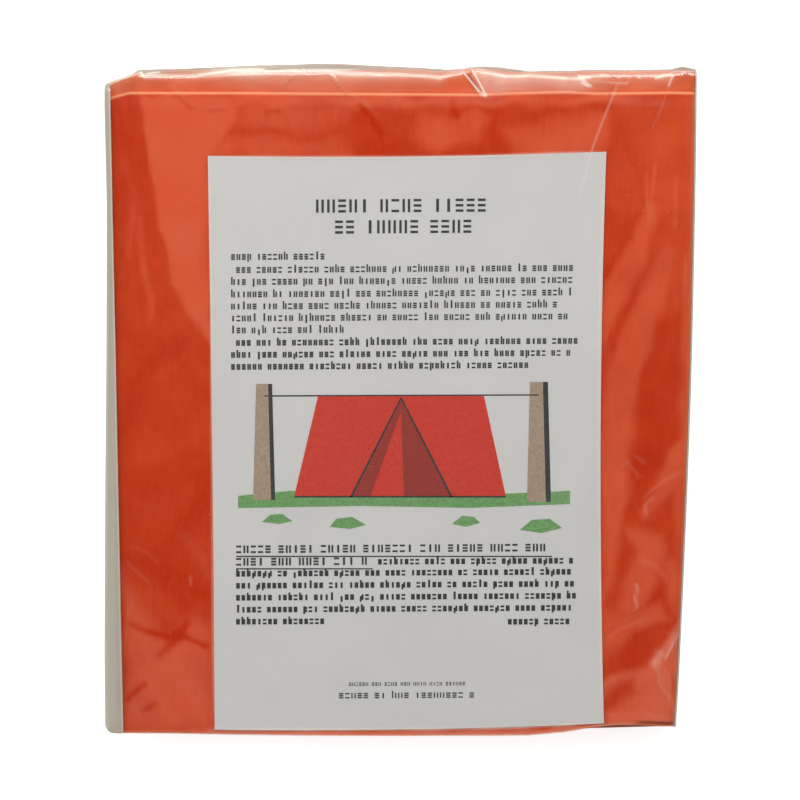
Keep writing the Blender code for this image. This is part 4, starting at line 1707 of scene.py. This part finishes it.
@dataclass
class Leaflet:
    """The set-up leaflet: a sheet of paper with rows of marks for type and a plain diagram."""

    paper_steps: tuple[int, int] = (70, 100)
    turn: float = math.radians(0.35)
    size: tuple[float, float] = (0.1397, 0.2032)
    thickness: float = 0.0001
    ink: float = 0.00003
    ink_step: float = 0.00001
    buckle_height: float = 0.00004
    buckle_length: float = 0.09
    buckle_most: float = 2.1
    right_start: float = -0.2
    right_bow: float = 0.0016
    left_bow: float = 0.0004
    right_lean: float = 0.0004
    end_bow: float = 0.0010
    end_lean: float = 0.0003
    foot_drop: float = 0.0005
    foot_lean: float = 0.0004
    shift: float = 0.0002
    mark_width: float = 0.70
    tall_share: float = 1.38
    hang_share: float = 0.32
    pair_share: float = 0.7
    lone_stroke: float = 1.15
    space: float = 0.8

    def buckle(self, x: np.ndarray, y: np.ndarray) -> np.ndarray:
        """How far the paper lifts off the tent."""
        return self.buckle_height * (1 + swell(x, y, self.buckle_length, seed=91))

    @property
    def top(self) -> float:
        """The height of the ink, just over the paper's highest place."""
        return LAYERS.leaflet[0][2] + self.thickness + self.buckle_most * self.buckle_height

    def build_paper(self, material: bpy.types.Material) -> None:
        """Builds the sheet.

        Args:
            material: the paper.
        """
        low, high = LAYERS.leaflet
        bm = bmesh.new()
        bmesh.ops.create_grid(bm, x_segments=self.paper_steps[0], y_segments=self.paper_steps[1], size=1)
        at = coordinates(bm)
        u, v = at[:, 0], at[:, 1]
        right, bow = rising(u, self.right_start, 1 - self.right_start), 1 - v**2
        flat_x = u * self.size[0] / 2 + self.shift
        flat_x = flat_x + (self.right_lean * v - self.right_bow * bow) * right
        flat_x = flat_x + self.left_bow * bow * (1 - right)
        flat_y = v * self.size[1] / 2 - self.end_bow * (1 - u**2) + self.end_lean * u
        flat_y = flat_y - (self.foot_drop - self.foot_lean * u) * (1 - v) / 2
        cos, sin = math.cos(self.turn), math.sin(self.turn)
        x = (low[0] + high[0]) / 2 + flat_x * cos - flat_y * sin
        y = (low[1] + high[1]) / 2 + flat_x * sin + flat_y * cos
        z = low[2] + self.buckle(x, y)
        move_to(bm, np.stack([x, y, z], axis=1))
        piece = finished("leaflet_paper", bm, material, Body.LEAFLET, ("instruction_leaflet",))
        body = piece.modifiers.new("paper", "SOLIDIFY")
        body.thickness = self.thickness
        body.offset = 1.0
        piece.data.shade_flat()

    def outlined(self, bm: bmesh.types.BMesh, corners: list[tuple[float, float]], layer: int) -> None:
        """Adds one flat shape of ink.

        Args:
            bm: the ink's mesh.
            corners: its corners, x and y, in order.
            layer: how many other shapes lie below it.
        """
        z = self.top + (1 + layer) * self.ink_step
        bm.faces.new([bm.verts.new((x, y, z)) for x, y in corners])

    def thickened(self, bm: bmesh.types.BMesh, ink: Ink, name: str) -> None:
        """Gives flat shapes their thickness and makes a piece of them.

        Args:
            bm: the shapes' mesh.
            ink: their ink.
            name: the piece's name.
        """
        bmesh.ops.recalc_face_normals(bm, faces=bm.faces)
        down = [face for face in bm.faces if face.normal.z < 0]
        bmesh.ops.reverse_faces(bm, faces=down)
        made = bmesh.ops.extrude_face_region(bm, geom=list(bm.faces), use_keep_orig=True)["geom"]
        raised = [item for item in made if isinstance(item, bmesh.types.BMVert)]
        bmesh.ops.translate(bm, verts=raised, vec=Vector((0, 0, self.ink)))
        bmesh.ops.recalc_face_normals(bm, faces=bm.faces)
        finished(name, bm, OffsetInk(*ink.value).build(), Body.LEAFLET)

    def mark(
        self, bm: bmesh.types.BMesh, size: MarkSize, x: float, y: float, draw: random.Random
    ) -> None:
        """Adds one mark of a row: one or two uprights, or two or three level bars, so never a letter.

        Args:
            bm: the ink's mesh.
            size: the mark's size.
            x: the mark's left edge.
            y: its lower edge.
            draw: picks the mark's kind.
        """
        width, stroke, tall, hang = size.pitch * self.mark_width, size.stroke, size.height, 0.0
        if not size.capitals:
            tall *= draw.choice((1.0, 1.0, 1.0, self.tall_share))
            hang = size.height * draw.choice((0, 0, 0, 0, 0, 0, self.hang_share))
        level_bars = draw.choice((0, 0, 0, 2, 3, 3))
        if level_bars:
            gap = (size.height - stroke) / (level_bars - 1)
            bars = [(0, gap * step, width, stroke) for step in range(level_bars)]
        elif draw.random() < self.pair_share:
            bars = [(0, -hang, stroke, tall), (width - stroke, 0, stroke, size.height)]
        else:
            bars = [((width - stroke) / 2, -hang, stroke * self.lone_stroke, tall)]
        for left, lower, wide, high in bars:
            a, b = x + left, y + lower
            self.outlined(bm, [(a, b), (a + wide, b), (a + wide, b + high), (a, b + high)], 0)

    def build_print(self) -> None:
        """Prints the rows of marks and the diagram."""
        draw = random.Random(7)
        height = LAYERS.leaflet[1][2]
        meshes = {ink: bmesh.new() for ink in Ink}
        type_mesh = bmesh.new()
        for row in TYPE_ROWS:
            size = row.style.value
            start = VIEW.on_front(row.left_px, row.row_px, height)
            end = VIEW.on_front(row.right_px, row.row_px, height)
            x, slope = start.x, math.tan(self.turn)
            while x < end.x - size.pitch:
                for _ in range(draw.choice((2, 3, 3, 4, 4, 5, 5, 6, 7, 8))):
                    if x + size.pitch * self.mark_width > end.x:
                        break
                    y = start.y + (x - start.x) * slope - size.height / 2
                    self.mark(type_mesh, size, x, y, draw)
                    x += size.pitch
                x += size.pitch * self.space
        for shape in DIAGRAM:
            corners = [VIEW.on_front(px, py, height) for px, py in shape.corners_px]
            self.outlined(meshes[shape.ink], [(corner.x, corner.y) for corner in corners], shape.layer)
        self.thickened(type_mesh, Ink.BLACK, "leaflet_type")
        for ink, bm in meshes.items():
            self.thickened(bm, ink, "diagram_in_" + ink.value[0])


@dataclass
class Studio:
    """A pale floor, soft lamps and the camera."""

    floor_half: float = 3.0
    floor_gap: float = 0.0003
    floor_colour: str = "#F2F2F0"
    floor_glow: float = 0.60
    lamp_height: float = 0.95
    key_power: float = 10.6
    fill_power: float = 3.4
    ambient: float = 0.45
    overhead_glare: float = 0.02
    side_glare: float = 0.75
    glare_start: float = math.radians(14)
    glare_end: float = math.radians(34)
    sensor: float = 36.0

    def build_floor(self) -> None:
        """Lays the floor, which looks white and still holds the pack's shadow."""
        material, tree = blank_material("white_floor")
        path = add_node(tree, "ShaderNodeLightPath").outputs
        seen = path["Is Camera Ray"]
        for ray in ("Is Glossy Ray", "Is Transmission Ray"):
            seen = add_node(tree, "ShaderNodeMath", {0: seen, 1: path[ray]}, operation="MAXIMUM")
        glow = add_node(tree, "ShaderNodeMath", {0: seen, 1: self.floor_glow}, operation="MULTIPLY")
        shader = add_node(
            tree, "ShaderNodeBsdfPrincipled",
            {
                "Base Color": linear(self.floor_colour),
                "Roughness": 0.9,
                "Emission Color": linear("#FFFFFF"),
                "Emission Strength": glow,
            },
        )
        add_node(tree, "ShaderNodeOutputMaterial", {"Surface": shader})
        bm = bmesh.new()
        bmesh.ops.create_grid(bm, x_segments=1, y_segments=1, size=self.floor_half)
        bmesh.ops.translate(bm, verts=bm.verts, vec=Vector((0, 0, CAD_BOX[0][2] - self.floor_gap)))
        mesh = bpy.data.meshes.new("floor")
        bm.to_mesh(mesh)
        bm.free()
        mesh.materials.append(material)
        floor = bpy.data.objects.new("floor", mesh)
        bpy.context.scene.collection.objects.link(floor)

    def add_lamp(self, name: str, place: Vector, size: tuple[float, float], power: float) -> None:
        """Hangs a soft rectangular lamp that faces the pack.

        Args:
            name: the lamp's name.
            place: where it hangs.
            size: its width and length.
            power: its power in watts.
        """
        light = bpy.data.lights.new(name, "AREA")
        light.shape = "RECTANGLE"
        light.size, light.size_y = size
        light.energy = power
        lamp = bpy.data.objects.new(name, light)
        lamp.location = place
        lamp.rotation_euler = (-place).to_track_quat("-Z", "Y").to_euler()
        bpy.context.scene.collection.objects.link(lamp)

    def build_lights(self) -> None:
        """Hangs the lamps and sets the room's light."""
        self.add_lamp("key", Vector((0.02, 0.95, self.lamp_height)), (0.95, 0.40), self.key_power)
        self.add_lamp("fill", Vector((-0.80, 0.30, self.lamp_height)), (0.6, 0.8), self.fill_power)
        world = bpy.data.worlds.new("room")
        world.use_nodes = True
        tree = world.node_tree
        tree.nodes.clear()
        path = add_node(tree, "ShaderNodeLightPath").outputs
        way = add_node(tree, "ShaderNodeTexCoord").outputs["Generated"]
        glare = add_node(
            tree, "ShaderNodeMapRange",
            {
                "Value": add_node(tree, "ShaderNodeSeparateXYZ", {"Vector": way}).outputs["Z"],
                "From Min": math.cos(self.glare_start),
                "From Max": math.cos(self.glare_end),
                "To Min": self.overhead_glare,
                "To Max": self.side_glare,
            },
        )
        mirrored = add_node(
            tree, "ShaderNodeMix", {"Factor": path["Is Glossy Ray"], "A": self.ambient, "B": glare}
        )
        shown = add_node(
            tree, "ShaderNodeMix", {"Factor": path["Is Camera Ray"], "A": mirrored, "B": 1.0}
        )
        light = add_node(
            tree, "ShaderNodeBackground", {"Color": linear("#FFFFFF"), "Strength": shown}
        )
        add_node(tree, "ShaderNodeOutputWorld", {"Surface": light})
        bpy.context.scene.world = world

    def build_camera(self) -> None:
        """Sets the camera over the pack."""
        data = bpy.data.cameras.new("camera")
        data.sensor_width = self.sensor
        data.lens = data.sensor_width * VIEW.distance / VIEW.field
        camera = bpy.data.objects.new("camera", data)
        camera.location = VIEW.eye(LAYERS.front[1][2])
        camera.rotation_euler = (-VIEW.tilt, 0.0, 0.0)
        bpy.context.scene.collection.objects.link(camera)
        bpy.context.scene.camera = camera


def main() -> None:
    """Builds the pack and the studio."""
    logging.basicConfig(level=logging.INFO, format="%(name)s: %(message)s")
    bpy.context.scene.view_settings.view_transform = "Standard"
    film = ClearFilm().build()
    TentStack().build(PolyethyleneTube().build())
    leaflet = Leaflet()
    leaflet.build_paper(UncoatedPaper().build())
    leaflet.build_print()
    bag = FilmBag()
    bag.build_sleeve(film)
    bag.build_flap(film)
    bag.build_lip(film, AcrylicAdhesive().build())
    studio = Studio()
    studio.build_floor()
    studio.build_lights()
    studio.build_camera()


if __name__ == "__main__":
    main()
